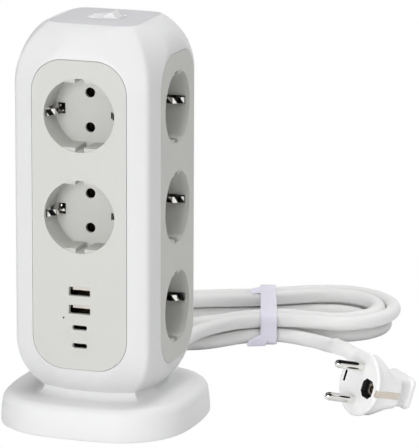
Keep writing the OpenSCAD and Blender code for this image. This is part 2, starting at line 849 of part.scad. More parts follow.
module base_shell() {
    color("white") difference() {
        union() {
            difference() {
                skin([for (ring = outer_rings) plan_ring(ring)]);
                skin([for (ring = inner_rings) plan_ring(ring)]);
            }
            corners(base_screw_x, base_screw_y)
                translate([0, 0, base_low + plate_t])
                    cylinder(d = base_boss_d,
                             h = rim_h - dish_drop - base_wall - base_low - plate_t + cut);
        }
        translate([-wire_hole / 2, -wire_hole / 2, base_h - seat_t - cut])
            cube([wire_hole, wire_hole, seat_t + 2 * cut]);
        corners(base_screw_x, base_screw_y)
            translate([0, 0, base_low]) cylinder(d = screw_d, h = screw_bite);
        corners(tower_screw_xy, tower_screw_xy)
            translate([0, 0, base_h - seat_t - cut])
                cylinder(d = screw_d + 2 * seat_gap, h = seat_t + 2 * cut);
        lying(sheath_y) cylinder(d = groove_d, h = base_half);
    }
}

module plate_screw_hole() {
    translate([0, 0, base_low - cut])
        cylinder(d = screw_d + 2 * seat_gap, h = plate_t + 2 * cut);
    translate([0, 0, base_low - cut])
        cylinder(d = screw_head_d + 2 * seat_gap, h = screw_head_t / 2 + cut);
}

module base_plate() {
    color("gainsboro") difference() {
        translate([0, 0, base_low]) linear_extrude(height = plate_t)
            polygon([for (i = [0:ring_n - 1])
                let (a = i * 360 / ring_n, r = base_radius(a) - base_wall - seat_gap)
                    [r * cos(a), r * sin(a)]]);
        corners(base_screw_x, base_screw_y) plate_screw_hole();
        for (x = [-1, 1]) translate([x * clamp_screw_x, clamp_y, 0]) plate_screw_hole();
        corners(foot_xy, foot_xy)
            translate([0, 0, base_low - cut]) cylinder(d = foot_d, h = foot_sink + cut);
    }
}

module rubber_feet() {
    color("dimgray") corners(foot_xy, foot_xy) cylinder(d = foot_d, h = foot_proud + foot_sink);
}

// A screw driven upwards, its head below what it holds
module up_screw(z, head_t, bite) {
    translate([0, 0, z - head_t]) cylinder(d = screw_head_d, h = head_t);
    translate([0, 0, z]) cylinder(d = screw_d, h = bite);
}

module base_screws() {
    z = base_low + screw_head_t / 2;
    color("gray") {
        corners(base_screw_x, base_screw_y)
            up_screw(z, screw_head_t / 2, screw_bite - screw_head_t);
        for (x = [-1, 1])
            translate([x * clamp_screw_x, clamp_y, 0])
                up_screw(z, screw_head_t / 2, screw_bite - screw_head_t);
    }
}

module tower_screws() {
    color("gray") corners(tower_screw_xy, tower_screw_xy)
        up_screw(base_h - seat_t, screw_head_t, seat_t + screw_bite - cut);
}

module cord_clamp() {
    color("whitesmoke") difference() {
        translate([-clamp_w / 2, clamp_y - clamp_t / 2, base_low + plate_t])
            cube([clamp_w, clamp_t, clamp_h]);
        lying(sheath_y) cylinder(d = cord_d, h = base_half);
        translate([-cord_d / 2, sheath_y, 0]) cube([cord_d, base_half, cord_z]);
        for (x = [-1, 1])
            translate([x * clamp_screw_x, clamp_y, base_low]) cylinder(d = screw_d, h = screw_bite);
    }
}

module lying(y) {
    translate([0, y, cord_z]) rotate([-90, 0, 0]) children();
}

module strain_relief() {
    color("whitesmoke") {
        lying(sheath_y) cylinder(d = cord_d, h = base_half - sheath_y);
        translate([-flange_w / 2, sleeve_in_y - flange_t, cord_z - groove_d / 2])
            cube([flange_w, flange_t, flange_h]);
        lying(sleeve_in_y - flange_t) cylinder(d = groove_d - 2 * seat_gap, h = flange_t);
        lying(sleeve_in_y) cylinder(d = groove_d, h = base_half - sleeve_in_y);
        lying(base_half) cylinder(d1 = sleeve_d, d2 = sleeve_tip_d, h = sleeve_l);
    }
}

// A tube swept along points, its rings square to the route, flat where it lies
function unit(v) = v / norm(v);
function along(p, i) = unit(p[min(i + 1, len(p) - 1)] - p[max(i - 1, 0)]);
function tube_ring(p, i, d, sides, ref) =
    let (t = along(p, i), u = unit(cross(ref, t)), v = cross(t, u))
    [for (k = [0:sides - 1])
        let (a = (k + 0.5) * 360 / sides, q = p[i] + d / 2 * (cos(a) * u + sin(a) * v))
            [q[0], q[1], max(q[2], 0)]];
module tube(p, d, sides, ref) {
    skin([for (i = [0:len(p) - 1]) tube_ring(p, i, d, sides, ref)]);
}

// Points eased between the hand-chosen ones
function ease(a, b, c, d, t) = 0.5 * (2 * b + (c - a) * t + (2 * a - 5 * b + 4 * c - d) * pow(t, 2)
    + (3 * b - a - 3 * c + d) * pow(t, 3));
function eased(p, n) = concat([for (i = [0:len(p) - 2], k = [0:n - 1])
    ease(p[max(i - 1, 0)], p[i], p[i + 1], p[min(i + 2, len(p) - 1)], k / n)], [p[len(p) - 1]]);

// Wires inside
wire_d = 2.4;
wire_sides = 8;
wire_ref = [1, 0.35, 0.2];
wire_steps = 3;
core_out = 2.6;
core_up = 0.8;
core_down = 2.4;
column_xy = 14.5;
column_low = carrier_low - carrier_over;
column_high = carrier_high - wire_d;
live_ring_a = 135;
neutral_ring_a = 102;
earth_ring_a = 81;
function on_ring(radii, a, z) = let (r = (radii[0] + radii[1]) / 2) [r * cos(a), r * sin(a), z];
live_end = [bezel_x, 0, terminal_foot];
switched_end = [bezel_x - terminal_pitch, 0, terminal_foot];
rise = [0, 0, wire_d];

module wire(p) {
    tube(eased(p, wire_steps), wire_d, wire_sides, wire_ref);
}

module live_feed_wire() {
    color("saddlebrown") wire([
        [core_out, sheath_y, cord_z + core_up], [core_out, sheath_y - 4, cord_z + core_up],
        [5, sheath_y - 12, base_h - 7], [8.5, 10.6, base_h], [11, 11, base_h + 7],
        [column_xy, column_xy, column_low - wire_d], [column_xy, column_xy, column_low + wire_d],
        [column_xy, column_xy, column_high - wire_d], [column_xy, column_xy, column_high],
        [14.3, 14.3, carrier_high + 0.8], [12.4, 12.4, carrier_high + 3.2],
        [7, 7, carrier_high + 4.4], [1.8, 1.8, terminal_foot - 3.8],
        live_end - rise, live_end - rise / 2, live_end]);
}

module switched_live_wire() {
    color("saddlebrown") wire([
        switched_end, switched_end - rise / 2, switched_end - rise,
        [-5.8, 1.8, terminal_foot - 3.8],
        [-8.4, 6.6, carrier_high + 4.4], [-12.4, 12.4, carrier_high + 3.2],
        [-14.3, 14.3, carrier_high + 0.8],
        [-column_xy, column_xy, column_high], [-column_xy, column_xy, column_high - wire_d],
        [-column_xy, column_xy, column_low + wire_d], [-column_xy, column_xy, column_low - wire_d],
        [-12.5, 12.5, base_h + 14], [-8.6, 8.6, base_h + 13.4], [-5.7, 5.7, base_h + 17],
        on_ring(live_ring, live_ring_a, link_z - wire_d),
        on_ring(live_ring, live_ring_a, link_z)]);
}

module neutral_wire() {
    color("steelblue") wire([
        [-core_out, sheath_y, cord_z + core_up], [-core_out, sheath_y - 4, cord_z + core_up],
        [-4.5, sheath_y - 11.5, base_h - 7.5], [-6.5, 11, base_h - 1], [-6.5, 10.8, base_h + 6],
        [-4.5, 13.5, base_h + 14], on_ring(neutral_ring, neutral_ring_a, link_z - 2 * wire_d),
        on_ring(neutral_ring, neutral_ring_a, link_z - wire_d),
        on_ring(neutral_ring, neutral_ring_a, link_z)]);
}

module earth_wire() {
    color("yellowgreen") wire([
        [0, sheath_y, cord_z - core_down], [0, sheath_y - 4, cord_z - core_down],
        [0, sheath_y - 12, cord_z], [0.5, 11, base_h - 4], [0.8, 10.8, base_h + 4],
        [2, 16, base_h + 12], [3.4, 22.2, link_z - 2.5 * wire_d],
        on_ring(earth_ring, earth_ring_a, link_z - wire_d),
        on_ring(earth_ring, earth_ring_a, link_z)]);
}

// Hank: turns of cord in two layers, drawn in at the waist, wound at a steady rate
hank_at = [21.7, 204.3];
hank_a = 27;
hank_turns = 4;
rings_per_turn = 24;
hank_sides = 6;
hank_run = 42.5;
hank_fold = 3 * cord_d;
hank_step = cord_d + 1;
hank_lay = cord_d + 0.55;
hank_waist = 10;
waist_reach = 52;
fold_share = 0.25;
tie_t = 0.8;
tie_gap = 0.1;
tie_a = 18;
tie_slack = 3;
tie_r = cord_d / 2 + tie_t + tie_gap;
rest_z = 0.4 * cord_d;
tie_lift = tie_t + tie_gap + cord_d / 2 - rest_z;
upward = [0, 0, 1];
function waist(s) = abs(s) < waist_reach ? (1 + cos(180 * s / waist_reach)) / 2 : 0;
function lifted(s) = min(1, waist(s) / waist(tie_w));
function hank_point(u) =
    let (half = hank_turns / 2,
         rho = hank_fold + hank_step * (abs(u - half) - fold_share),
         down = min(max((u - half + fold_share) / (2 * fold_share), 0), 1),
         f = u - floor(u), g = f > 0.875 ? f - 1 : f,
         s = g < 0.125 ? g * 8 * hank_run
           : g < 0.375 ? hank_run + rho * cos((g - 0.25) * 720)
           : g < 0.625 ? (0.5 - g) * 8 * hank_run
           : -hank_run - rho * cos((g - 0.75) * 720),
         w = g < 0.125 ? -rho
           : g < 0.375 ? rho * sin((g - 0.25) * 720)
           : g < 0.625 ? rho
           : -rho * sin((g - 0.75) * 720),
         drawn = w - (w < 0 ? -1 : 1) * hank_waist * waist(s))
    [hank_at[0] + s * cos(hank_a) - drawn * sin(hank_a),
     hank_at[1] + s * sin(hank_a) + drawn * cos(hank_a),
     rest_z + tie_lift * lifted(s) + hank_lay * (1 - down * down * (3 - 2 * down))];
hank_route = [for (i = [0:hank_turns * rings_per_turn]) hank_point(i / rings_per_turn)];
hank_first = hank_route[0];
hank_last = hank_route[len(hank_route) - 1];

// Least gap between stretches of the hank that lie beside or over each other
function point_to_run(p, a, b) =
    let (ab = b - a, t = min(max((p - a) * ab / (ab * ab), 0), 1)) norm(p - a - t * ab);
function least_gap(p) = min([
    for (i = [0:len(p) - 1], j = [i + rings_per_turn / 2:1:len(p) - 2])
        point_to_run(p[i], p[j], p[j + 1])]) - cord_d;
echo(least_gap_in_the_hank = least_gap(hank_route));

module cord_hank() {
    color("whitesmoke") tube(hank_route, cord_d, hank_sides, upward);
}

// The tie is a flat strap round the waist, with a loose end above and below
tie_near = hank_fold + hank_step * (hank_turns / 2 - fold_share) - hank_waist
    + cord_d / 2 + tie_slack;
tie_far = tie_near - hank_step / 2;
tie_high = rest_z + tie_lift + hank_lay + cord_d / 2 + tie_gap;
tail_l = 9;
tail_w = 13;
wing_w = 22;

module hank_tie() {
    w = tie_near + tie_far;
    mid = (tie_far - tie_near) / 2;
    color("lavender") translate([hank_at[0], hank_at[1], 0]) rotate([0, 0, tie_a]) {
        rotate([90, 0, 90]) linear_extrude(height = tie_w, center = true)
            difference() {
                translate([mid, (tie_high + tie_t) / 2])
                    rounded_rect(w + 2 * tie_t, tie_high + tie_t, tie_r);
                translate([mid, (tie_high + tie_t) / 2])
                    rounded_rect(w, tie_high - tie_t, tie_r - tie_t);
            }
        translate([-tie_w / 2 - tail_l, mid - w / 2 + tie_r - tail_w, 0])
            cube([tie_w + tail_l / 2, tail_w, tie_t]);
        translate([-tie_w / 2 - tail_l, mid + w / 2 - tie_r - wing_w, tie_high])
            cube([tie_w, wing_w, tie_t]);
    }
}

// Plug: lying on the edge of its head and the end of its grip
plug_at = [130.1, 48.6];
plug_turn = -128.2;
plug_tilt = 14.5;
plug_roll = -7.2;
plug_r = plug_d / 2;
plug_z = plug_r * cos(plug_tilt);
head_t = 8;
head_edge = 1;
neck_x = 14;
neck_drop = 4;
shoulder_x = 17.4;
waist_x = 21.5;
grip_end = 30.6;
rim_t = 2.4;
head_half_w = 17.4;
grip_half_w = 11;
rim_half_w = 11.8;
head_half_h = 15;
grip_half_h = 8.4;
rim_half_h = 9;
collar_d = 6.6;
collar_l = 1.5;
shank_d = 4;
earth_hole_y = 9;
earth_hole = 10.4;
earth_hole_cut = 2.6;
earth_hole_deep = 12;
spring_w = 7.4;
spring_l = 8.5;
slit_y = -12.9;
slit_w = 1.8;
slit_h = 6.4;
strip_w = 4;
strip_end = 16.8;
strip_in = 16.2;
boot_x = -14;
boot_y = -8;
boot_z = 8;
boot_l = 20;
boot_d = 10.6;
boot_tip_d = 9.2;
function turned_x(a, v) = [v[0], v[1] * cos(a) - v[2] * sin(a), v[1] * sin(a) + v[2] * cos(a)];
function turned_y(a, v) = [v[0] * cos(a) + v[2] * sin(a), v[1], v[2] * cos(a) - v[0] * sin(a)];
function turned_z(a, v) = [v[0] * cos(a) - v[1] * sin(a), v[0] * sin(a) + v[1] * cos(a), v[2]];
function plug_point(v) = [plug_at[0], plug_at[1], plug_z]
    + turned_z(plug_turn, turned_y(-plug_tilt, turned_x(plug_roll, v)));
plug_entry = plug_point([boot_x, boot_y - boot_l, boot_z]);
plug_before = plug_point([boot_x, boot_y - boot_l - cord_d, boot_z]);

module at_plug() {
    translate([plug_at[0], plug_at[1], plug_z])
        rotate([0, 0, plug_turn]) rotate([0, -plug_tilt, 0]) rotate([plug_roll, 0, 0]) children();
}

// A turned form about the X axis, its profile given as [x, radius]
module turned(profile) {
    rotate([0, 90, 0]) rotate_extrude() polygon([for (p = profile) [p[1], p[0]]]);
}

module grip() {
    side = [[-head_edge, head_half_h], [-neck_x, head_half_h - neck_drop], [-waist_x, grip_half_h],
            [rim_t - grip_end, grip_half_h], [rim_t - grip_end, rim_half_h], [-grip_end, rim_half_h]];
    above = [[-head_edge, head_half_w], [-shoulder_x, head_half_w], [-waist_x, grip_half_w],
             [rim_t - grip_end, grip_half_w], [rim_t - grip_end, rim_half_w], [-grip_end, rim_half_w]];
    intersection() {
        rotate([90, 0, 0]) linear_extrude(height = plug_d, center = true) polygon(mirrored(side));
        linear_extrude(height = plug_d, center = true) polygon(mirrored(above));
        turned([[0, 0], [0, plug_r - head_edge / 2], [-grip_end, plug_r - head_edge / 2], [-grip_end, 0]]);
    }
}
function mirrored(pts) = concat(
    pts, [for (i = [len(pts) - 1:-1:0]) [pts[i][0], -pts[i][1]]]);

module earth_hole_shape() {
    half = earth_hole / 2;
    c = half - earth_hole_cut;
    polygon([[half, c], [c, half], [-c, half], [-half, c],
             [-half, -c], [-c, -half], [c, -half], [half, -c]]);
}

// Free stretches of the lead, from the base's sleeve to the hank and on to the plug
cord_sides = 10;
tower_route = concat([
    [0, base_half + sleeve_l, cord_z], [0, base_half + sleeve_l + cord_d, cord_z],
    [0, 103.5, 9.6], [0, 116.9, 10.3], [2.3, 134.1, 11.8], [8.9, 150.1, 13.2],
    [19.4, 163.8, 13.9], [27.3, 170.6, 14], hank_first]);
plug_route = concat([
    hank_last, [43.1, 178.3, 5.1], [52.9, 179.5, 4.4], [62.5, 177.9, 3.8], [71.4, 173.8, 3.8],
    [78.7, 167.3, 4.6], [83.5, 160.2, 6.3], [85.7, 154.5, 7.8], [91, 136.6, 13],
    [96.4, 118.2, 18.6], [101.7, 100.4, 23.3], [106, 91.1, 25.3], plug_before, plug_entry]);

module cord_lead_tower() {
    color("whitesmoke") tube(tower_route, cord_d, cord_sides, upward);
}

module cord_lead_plug() {
    color("whitesmoke") tube(plug_route, cord_d, cord_sides, upward);
}

module plug_body() {
    color("white") at_plug() difference() {
        union() {
            turned([[0, 0], [0, plug_r - head_edge], [-head_edge / 2, plug_r - head_edge / 3],
                    [-head_edge, plug_r - head_edge * tan(plug_tilt)],
                    [-head_t, plug_r - head_t * tan(plug_tilt)],
                    [-neck_x, plug_r - neck_x / 2], [-neck_x, 0]]);
            grip();
            for (s = [-1, 1])
                translate([0, 0, s * pin_pitch / 2])
                    turned([[-cut, 0], [-cut, collar_d / 2], [collar_l, collar_d / 2], [collar_l, 0]]);
            translate([boot_x, boot_y, boot_z]) rotate([90, 0, 0])
                cylinder(d1 = boot_d, d2 = boot_tip_d, h = boot_l);
        }
        for (s = [-1, 1])
            translate([-head_t, 0, s * pin_pitch / 2]) rotate([0, 90, 0])
                cylinder(d = shank_d, h = head_t + collar_l + cut);
        translate([-earth_hole_deep, earth_hole_y, 0]) rotate([0, 90, 0])
            linear_extrude(height = earth_hole_deep + cut) earth_hole_shape();
        translate([-head_t, slit_y - slit_w / 2, -slit_h / 2]) cube([head_t + cut, slit_w, slit_h]);
        for (s = [0, 1]) mirror([0, s, 0])
            translate([-strip_end, strip_in, -strip_w / 2]) cube([strip_end + cut, plug_r, strip_w]);
    }
}

module plug_pins() {
    r = plug_pin_d / 2;
    color("silver") at_plug() for (s = [-1, 1])
        translate([0, 0, s * pin_pitch / 2])
            turned([[-head_t, 0], [-head_t, shank_d / 2], [collar_l, shank_d / 2], [collar_l, r],
                    [plug_pin_l - r, r], [plug_pin_l - r / 3, 0.8 * r], [plug_pin_l, r / 3],
                    [plug_pin_l, 0]]);
}

module plug_earth_contacts() {
    color("silver") at_plug() {
        for (s = [0, 1]) mirror([0, s, 0])
            translate([-strip_end, strip_in, -strip_w / 2])
                cube([strip_end - strip_t / 2, strip_t, strip_w]);
        translate([-head_t, slit_y - slit_w / 2, -slit_h / 2])
            cube([head_t / 2, slit_w, slit_h - strip_t]);
        translate([-earth_hole_deep, earth_hole_y, 0]) difference() {
            translate([0, -spring_w / 2, -spring_w / 2]) cube([spring_l, spring_w, spring_w]);
            translate([strip_t, 0, 0]) rotate([0, 90, 0])
                cylinder(d = plug_pin_d, h = spring_l);
        }
    }
}

base_shell();
base_plate();
rubber_feet();
base_screws();
tower_screws();
casing();
top_plate();
switch_housing();
switch_rocker();
switch_plunger();
contact_lever();
switch_terminals();
front_panel();
right_panel();
rear_panel();
left_panel();
front_contact_carrier();
right_contact_carrier();
rear_contact_carrier();
left_contact_carrier();
front_live_bar();
right_live_bar();
rear_live_bar();
left_live_bar();
front_neutral_bar();
right_neutral_bar();
rear_neutral_bar();
left_neutral_bar();
front_earth_bar();
right_earth_bar();
rear_earth_bar();
left_earth_bar();
carrier_screws();
live_link();
neutral_link();
earth_link();
usb_board();
usb_a_port_upper();
usb_a_port_lower();
usb_c_port_upper();
usb_c_port_lower();
usb_c_bezels();
usb_transformer();
usb_screws();
indicator_light();
live_feed_wire();
switched_live_wire();
neutral_wire();
earth_wire();
cord_clamp();
strain_relief();
cord_lead_tower();
cord_hank();
hank_tie();
cord_lead_plug();
plug_body();
plug_pins();
plug_earth_contacts();
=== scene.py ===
"""Looks of the tower power strip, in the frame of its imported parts. Lengths in the
helpers are millimetres; everything handed to Blender is in metres."""
import bmesh
import bpy
import math
from contextlib import contextmanager
from mathutils import Matrix, Vector


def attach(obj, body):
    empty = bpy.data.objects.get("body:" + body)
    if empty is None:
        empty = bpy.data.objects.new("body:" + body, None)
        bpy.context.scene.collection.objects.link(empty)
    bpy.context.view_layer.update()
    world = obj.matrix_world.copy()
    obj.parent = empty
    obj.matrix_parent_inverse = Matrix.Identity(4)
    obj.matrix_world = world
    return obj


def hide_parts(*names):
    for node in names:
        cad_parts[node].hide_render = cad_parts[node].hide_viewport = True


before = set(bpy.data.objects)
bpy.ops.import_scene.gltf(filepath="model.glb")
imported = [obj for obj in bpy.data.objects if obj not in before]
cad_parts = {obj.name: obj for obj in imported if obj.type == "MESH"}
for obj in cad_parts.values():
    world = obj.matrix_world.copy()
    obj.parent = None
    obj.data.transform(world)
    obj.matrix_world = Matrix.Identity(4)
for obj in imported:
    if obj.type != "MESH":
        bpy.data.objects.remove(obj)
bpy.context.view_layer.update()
scene = bpy.context.scene
scene.view_settings.view_transform = "Standard"
MM = 0.001
TURNS = (0, 90, 180, 270)


# Meshes
def add_mesh(name, verts, faces, smooth=True):
    data = bpy.data.meshes.new(name)
    data.from_pydata([tuple(c * MM for c in v) for v in verts], [], faces)
    data.validate()
    for poly in data.polygons:
        poly.use_smooth = smooth
    made = bpy.data.objects.new(name, data)
    scene.collection.objects.link(made)
    return made


def loft(rings, capped=True):
    """Faces over equal rings of points, closed round each ring."""
    n = len(rings[0])
    verts = [p for ring in rings for p in ring]
    faces = []
    for i in range(len(rings) - 1):
        for k in range(n):
            j = (k + 1) % n
            faces.append((i * n + k, i * n + j, (i + 1) * n + j, (i + 1) * n + k))
    if capped:
        last = (len(rings) - 1) * n
        faces += [tuple(range(n - 1, -1, -1)), tuple(range(last, last + n))]
    return verts, faces


@contextmanager
def editing(made):
    """A piece's mesh, opened for a change and written back."""
    bm = bmesh.new()
    bm.from_mesh(made.data)
    yield bm
    bm.to_mesh(made.data)
    bm.free()


def solid(name, rings, smooth=True):
    """A closed form over rings of points, its faces turned outward."""
    made = add_mesh(name, *loft(rings), smooth)
    with editing(made) as bm:
        bmesh.ops.recalc_face_normals(bm, faces=bm.faces)
    return made


def turned(name, profile, sides=64):
    """A form turned about its own X axis from (x, radius) pairs."""
    steps = [2 * math.pi * k / sides for k in range(sides)]
    return solid(name, [[(x, r * math.cos(a), r * math.sin(a)) for a in steps]
                        for x, r in profile])


def raised(outline, z):
    return [(x, y, z) for x, y in outline]


def arc(cx, cy, r, a0, a1, n=7):
    turns = [math.radians(a0 + (a1 - a0) * k / n) for k in range(n + 1)]
    return [(cx + r * math.cos(a), cy + r * math.sin(a)) for a in turns]


def rounded_outline(w, h, r, steps=24):
    pts = []
    for i, (across, up) in enumerate(((1, 1), (-1, 1), (-1, -1), (1, -1))):
        pts += arc(across * (w / 2 - r), up * (h / 2 - r), r, 90 * i, 90 * i + 90, steps)
    return pts


def moved(v, unit=1.0):
    return Matrix.Translation(Vector(v) * unit)


def turn(angle, axis):
    return Matrix.Rotation(math.radians(angle), 4, axis)


def ease(t):
    return t * t * (3 - 2 * t)


# Modifiers
def bake(made):
    """Applies the modifiers so far to the piece's own mesh."""
    bpy.context.view_layer.update()
    graph = bpy.context.evaluated_depsgraph_get()
    data = bpy.data.meshes.new_from_object(made.evaluated_get(graph))
    old = made.data
    made.modifiers.clear()
    made.data = data
    bpy.data.meshes.remove(old)


def combine(made, tools, operation="DIFFERENCE"):
    """Cuts the tools out of a piece, or joins them to it, and removes them."""
    for tool in tools:
        mod = made.modifiers.new("combine", "BOOLEAN")
        mod.operation = operation
        mod.solver = "EXACT"
        mod.object = tool
    bake(made)
    for tool in tools:
        bpy.data.objects.remove(tool)


SAME_POINT, BEVEL_OVER, NORMAL_WEIGHT = 0.000002, 35, 80


def soften(made, width):
    """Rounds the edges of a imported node."""
    made.modifiers.new("weld", "WELD").merge_threshold = SAME_POINT
    mod = made.modifiers.new("edges", "BEVEL")
    mod.width = width * MM
    mod.segments = 2
    mod.limit_method = "ANGLE"
    mod.angle_limit = math.radians(BEVEL_OVER)
    mod.miter_outer = "MITER_ARC"
    made.modifiers.new("normals", "WEIGHTED_NORMAL").weight = NORMAL_WEIGHT


def smooth_group(angle):
    """A node group that shades smooth and keeps edges sharper than an angle."""
    name = "smooth_below_%d" % angle
    if name in bpy.data.node_groups:
        return bpy.data.node_groups[name]
    tree = bpy.data.node_groups.new(name, "GeometryNodeTree")
    tree.interface.new_socket("Geometry", in_out="INPUT", socket_type="NodeSocketGeometry")
    tree.interface.new_socket("Geometry", in_out="OUTPUT", socket_type="NodeSocketGeometry")
    start = tree.nodes.new("NodeGroupInput")
    end = tree.nodes.new("NodeGroupOutput")
    faces = tree.nodes.new("GeometryNodeSetShadeSmooth")
    edges = tree.nodes.new("GeometryNodeSetShadeSmooth")
    edges.domain = "EDGE"
    bend = tree.nodes.new("GeometryNodeInputMeshEdgeAngle")
    below = tree.nodes.new("FunctionNodeCompare")
    below.operation = "LESS_THAN"
    below.inputs[1].default_value = math.radians(angle)
    link = tree.links.new
    link(start.outputs[0], faces.inputs["Geometry"])
    link(faces.outputs[0], edges.inputs["Geometry"])
    link(bend.outputs["Unsigned Angle"], below.inputs[0])
    link(below.outputs[0], edges.inputs["Shade Smooth"])
    link(edges.outputs[0], end.inputs[0])
    return tree


def smooth_below(made, angle):
    made.modifiers.new("shading", "NODES").node_group = smooth_group(angle)


def all_smooth(made):
    for poly in made.data.polygons:
        poly.use_smooth = True


# Materials
def blank(owner):
    """The emptied node tree of a new material or world."""
    owner.use_nodes = True
    owner.node_tree.nodes.clear()
    return owner.node_tree


def noise(tree, at, scale, detail):
    made = tree.nodes.new("ShaderNodeTexNoise")
    made.inputs["Scale"].default_value = scale
    made.inputs["Detail"].default_value = detail
    tree.links.new(at, made.inputs["Vector"])
    return made.outputs["Fac"]


def material(name, color, tint, rough, relief, bump, patterns):
    """A surface whose tone, roughness and relief vary. rough is (least, most), relief
    the depth in metres and bump its strength; patterns(tree, coordinates) gives what
    drives tone and roughness, and what drives the relief."""
    mat = bpy.data.materials.new(name)
    tree = blank(mat)
    new, link = tree.nodes.new, tree.links.new
    out = new("ShaderNodeOutputMaterial")
    shade = new("ShaderNodeBsdfPrincipled")
    tone = new("ShaderNodeMixRGB")
    for i, change in ((1, -tint), (2, tint)):
        tone.inputs[i].default_value = (*[min(1.0, c * (1 + change)) for c in color], 1)
    gloss = new("ShaderNodeMapRange")
    gloss.inputs["To Min"].default_value, gloss.inputs["To Max"].default_value = rough
    uneven = new("ShaderNodeBump")
    uneven.inputs["Strength"].default_value = bump
    uneven.inputs["Distance"].default_value = relief
    broad, fine = patterns(tree, new("ShaderNodeTexCoord").outputs["Object"])
    link(broad, tone.inputs[0])
    link(broad, gloss.inputs["Value"])
    link(fine, uneven.inputs["Height"])
    link(tone.outputs[0], shade.inputs["Base Color"])
    link(gloss.outputs["Result"], shade.inputs["Roughness"])
    link(uneven.outputs["Normal"], shade.inputs["Normal"])
    link(shade.outputs[0], out.inputs["Surface"])
    return mat


def principled(mat):
    return next(n for n in mat.node_tree.nodes if n.type == "BSDF_PRINCIPLED")


BROAD_SCALE = 22.0
PLASTIC_SPREAD, PLASTIC_RELIEF = 0.04, 0.0005
METAL_SPREAD, METAL_RELIEF, METAL_FLOOR = 0.06, 0.0002, 0.02
ALL_WAYS = (700.0, 700.0, 700.0)


def plastic(name, color, rough, grain, bump, tint):
    """Moulded plastic: a fine skin texture, slight tone and gloss variation."""
    def patterns(tree, at):
        return noise(tree, at, BROAD_SCALE, 2.0), noise(tree, at, grain, 3.0)
    return material(name, color, tint, (rough - PLASTIC_SPREAD, rough + PLASTIC_SPREAD),
                    PLASTIC_RELIEF, bump, patterns)


def metal(name, color, rough=0.25, grain=ALL_WAYS, bump=0.05, tint=0.06):
    """Drawn or plated metal: fine lines or specks in its gloss and tone."""
    def patterns(tree, at):
        stretch = tree.nodes.new("ShaderNodeMapping")
        stretch.inputs["Scale"].default_value = grain
        tree.links.new(at, stretch.inputs["Vector"])
        lines = noise(tree, stretch.outputs["Vector"], 1.0, 4.0)
        return lines, lines
    mat = material(name, color, tint,
                   (max(METAL_FLOOR, rough - METAL_SPREAD), rough + METAL_SPREAD),
                   METAL_RELIEF, bump, patterns)
    principled(mat).inputs["Metallic"].default_value = 1.0
    return mat


# name, colour, roughness, grain per metre, relief, tone variation
SHELL = plastic("shell_white", (0.715, 0.715, 0.72), 0.5, 1500, 0.015, 0.008)
BASE = plastic("base_white", (0.78, 0.78, 0.785), 0.55, 1500, 0.015, 0.008)
PANEL = plastic("panel_grey", (0.58, 0.58, 0.557), 0.52, 2600, 0.05, 0.01)
# Top plate: the shell's white plastic, painted darker and bluer as the shade on the top
TOP = plastic("top_white_painted_shade", (0.60, 0.592, 0.615), 0.55, 2600, 0.05, 0.01)
SWITCH = plastic("switch_white", (0.80, 0.80, 0.80), 0.25, 900, 0.01, 0.006)
# Black plastic of the carriers and plunger; also painted shade on the walls of the plug's holes
BLACK_AND_HOLE_SHADE = plastic("inner_black", (0.012, 0.012, 0.013), 0.5, 1500, 0.04, 0.1)
CORD = plastic("cord_white", (0.83, 0.83, 0.825), 0.42, 420, 0.03, 0.012)
PLUG = plastic("plug_white", (0.86, 0.86, 0.86), 0.42, 1200, 0.015, 0.006)
BOARD = plastic("board_green", (0.01, 0.09, 0.04), 0.35, 600, 0.03, 0.15)
TAPE = plastic("core_yellow", (0.62, 0.42, 0.06), 0.4, 500, 0.03, 0.08)
BROWN = plastic("wire_brown", (0.10, 0.03, 0.012), 0.4, 500, 0.02, 0.1)
BLUE = plastic("wire_blue", (0.01, 0.07, 0.33), 0.4, 500, 0.02, 0.1)
GREEN = plastic("wire_green", (0.22, 0.36, 0.02), 0.4, 500, 0.02, 0.3)
RUBBER = plastic("foot_rubber", (0.05, 0.05, 0.05), 0.8, 900, 0.1, 0.1)
PLATE = plastic("plate_grey", (0.58, 0.58, 0.58), 0.5, 1500, 0.05, 0.02)
TONGUE = plastic("tongue_ivory", (0.84, 0.78, 0.72), 0.4, 900, 0.02, 0.02)
TIE = plastic("tie_lavender", (0.83, 0.82, 0.93), 0.75, 2400, 0.35, 0.05)
# Brass painted almost black: the shade deep in the sockets' pin holes
BRASS_PAINTED_DARK = metal("contact_brass", (0.10, 0.075, 0.045), rough=0.45)
EARTH = metal("earth_metal", (0.66, 0.60, 0.53), rough=0.25, grain=(200, 200, 2600), bump=0.04)
CLIP = metal("clip_chrome", (0.90, 0.88, 0.84), rough=0.12, bump=0.0)
SCREW = metal("screw_steel", (0.5, 0.5, 0.5), rough=0.3)
PORT = metal("port_metal", (0.72, 0.72, 0.71), rough=0.18)
CHROME = metal("pin_chrome", (0.80, 0.79, 0.77), rough=0.08, bump=0.0, tint=0.02)

# The tie is brushed loop tape with a short soft pile
principled(TIE).inputs["Sheen Weight"].default_value = 0.5
principled(TIE).inputs["Sheen Roughness"].default_value = 0.4


def shaded(mat, dark, mask):
    """Mixes a darker tone into a material where a mask of its object coordinates is high: it
    paints reflection and shade.
    """
    tree = mat.node_tree
    shade = principled(mat)
    tone = shade.inputs["Base Color"].links[0].from_socket
    mix = tree.nodes.new("ShaderNodeMixRGB")
    mix.inputs[2].default_value = (*dark, 1)
    place = tree.nodes.new("ShaderNodeTexCoord")
    tree.links.new(tone, mix.inputs[1])
    tree.links.new(mask(tree, place.outputs["Object"]), mix.inputs[0])
    tree.links.new(mix.outputs[0], shade.inputs["Base Color"])


BAND_SCALE, BAND_DISTORTION, BAND_EDGES = 70.0, 0.6, (0.25, 0.5)
PORT_MOUTH, PORT_DARK = -0.0386, -0.0374


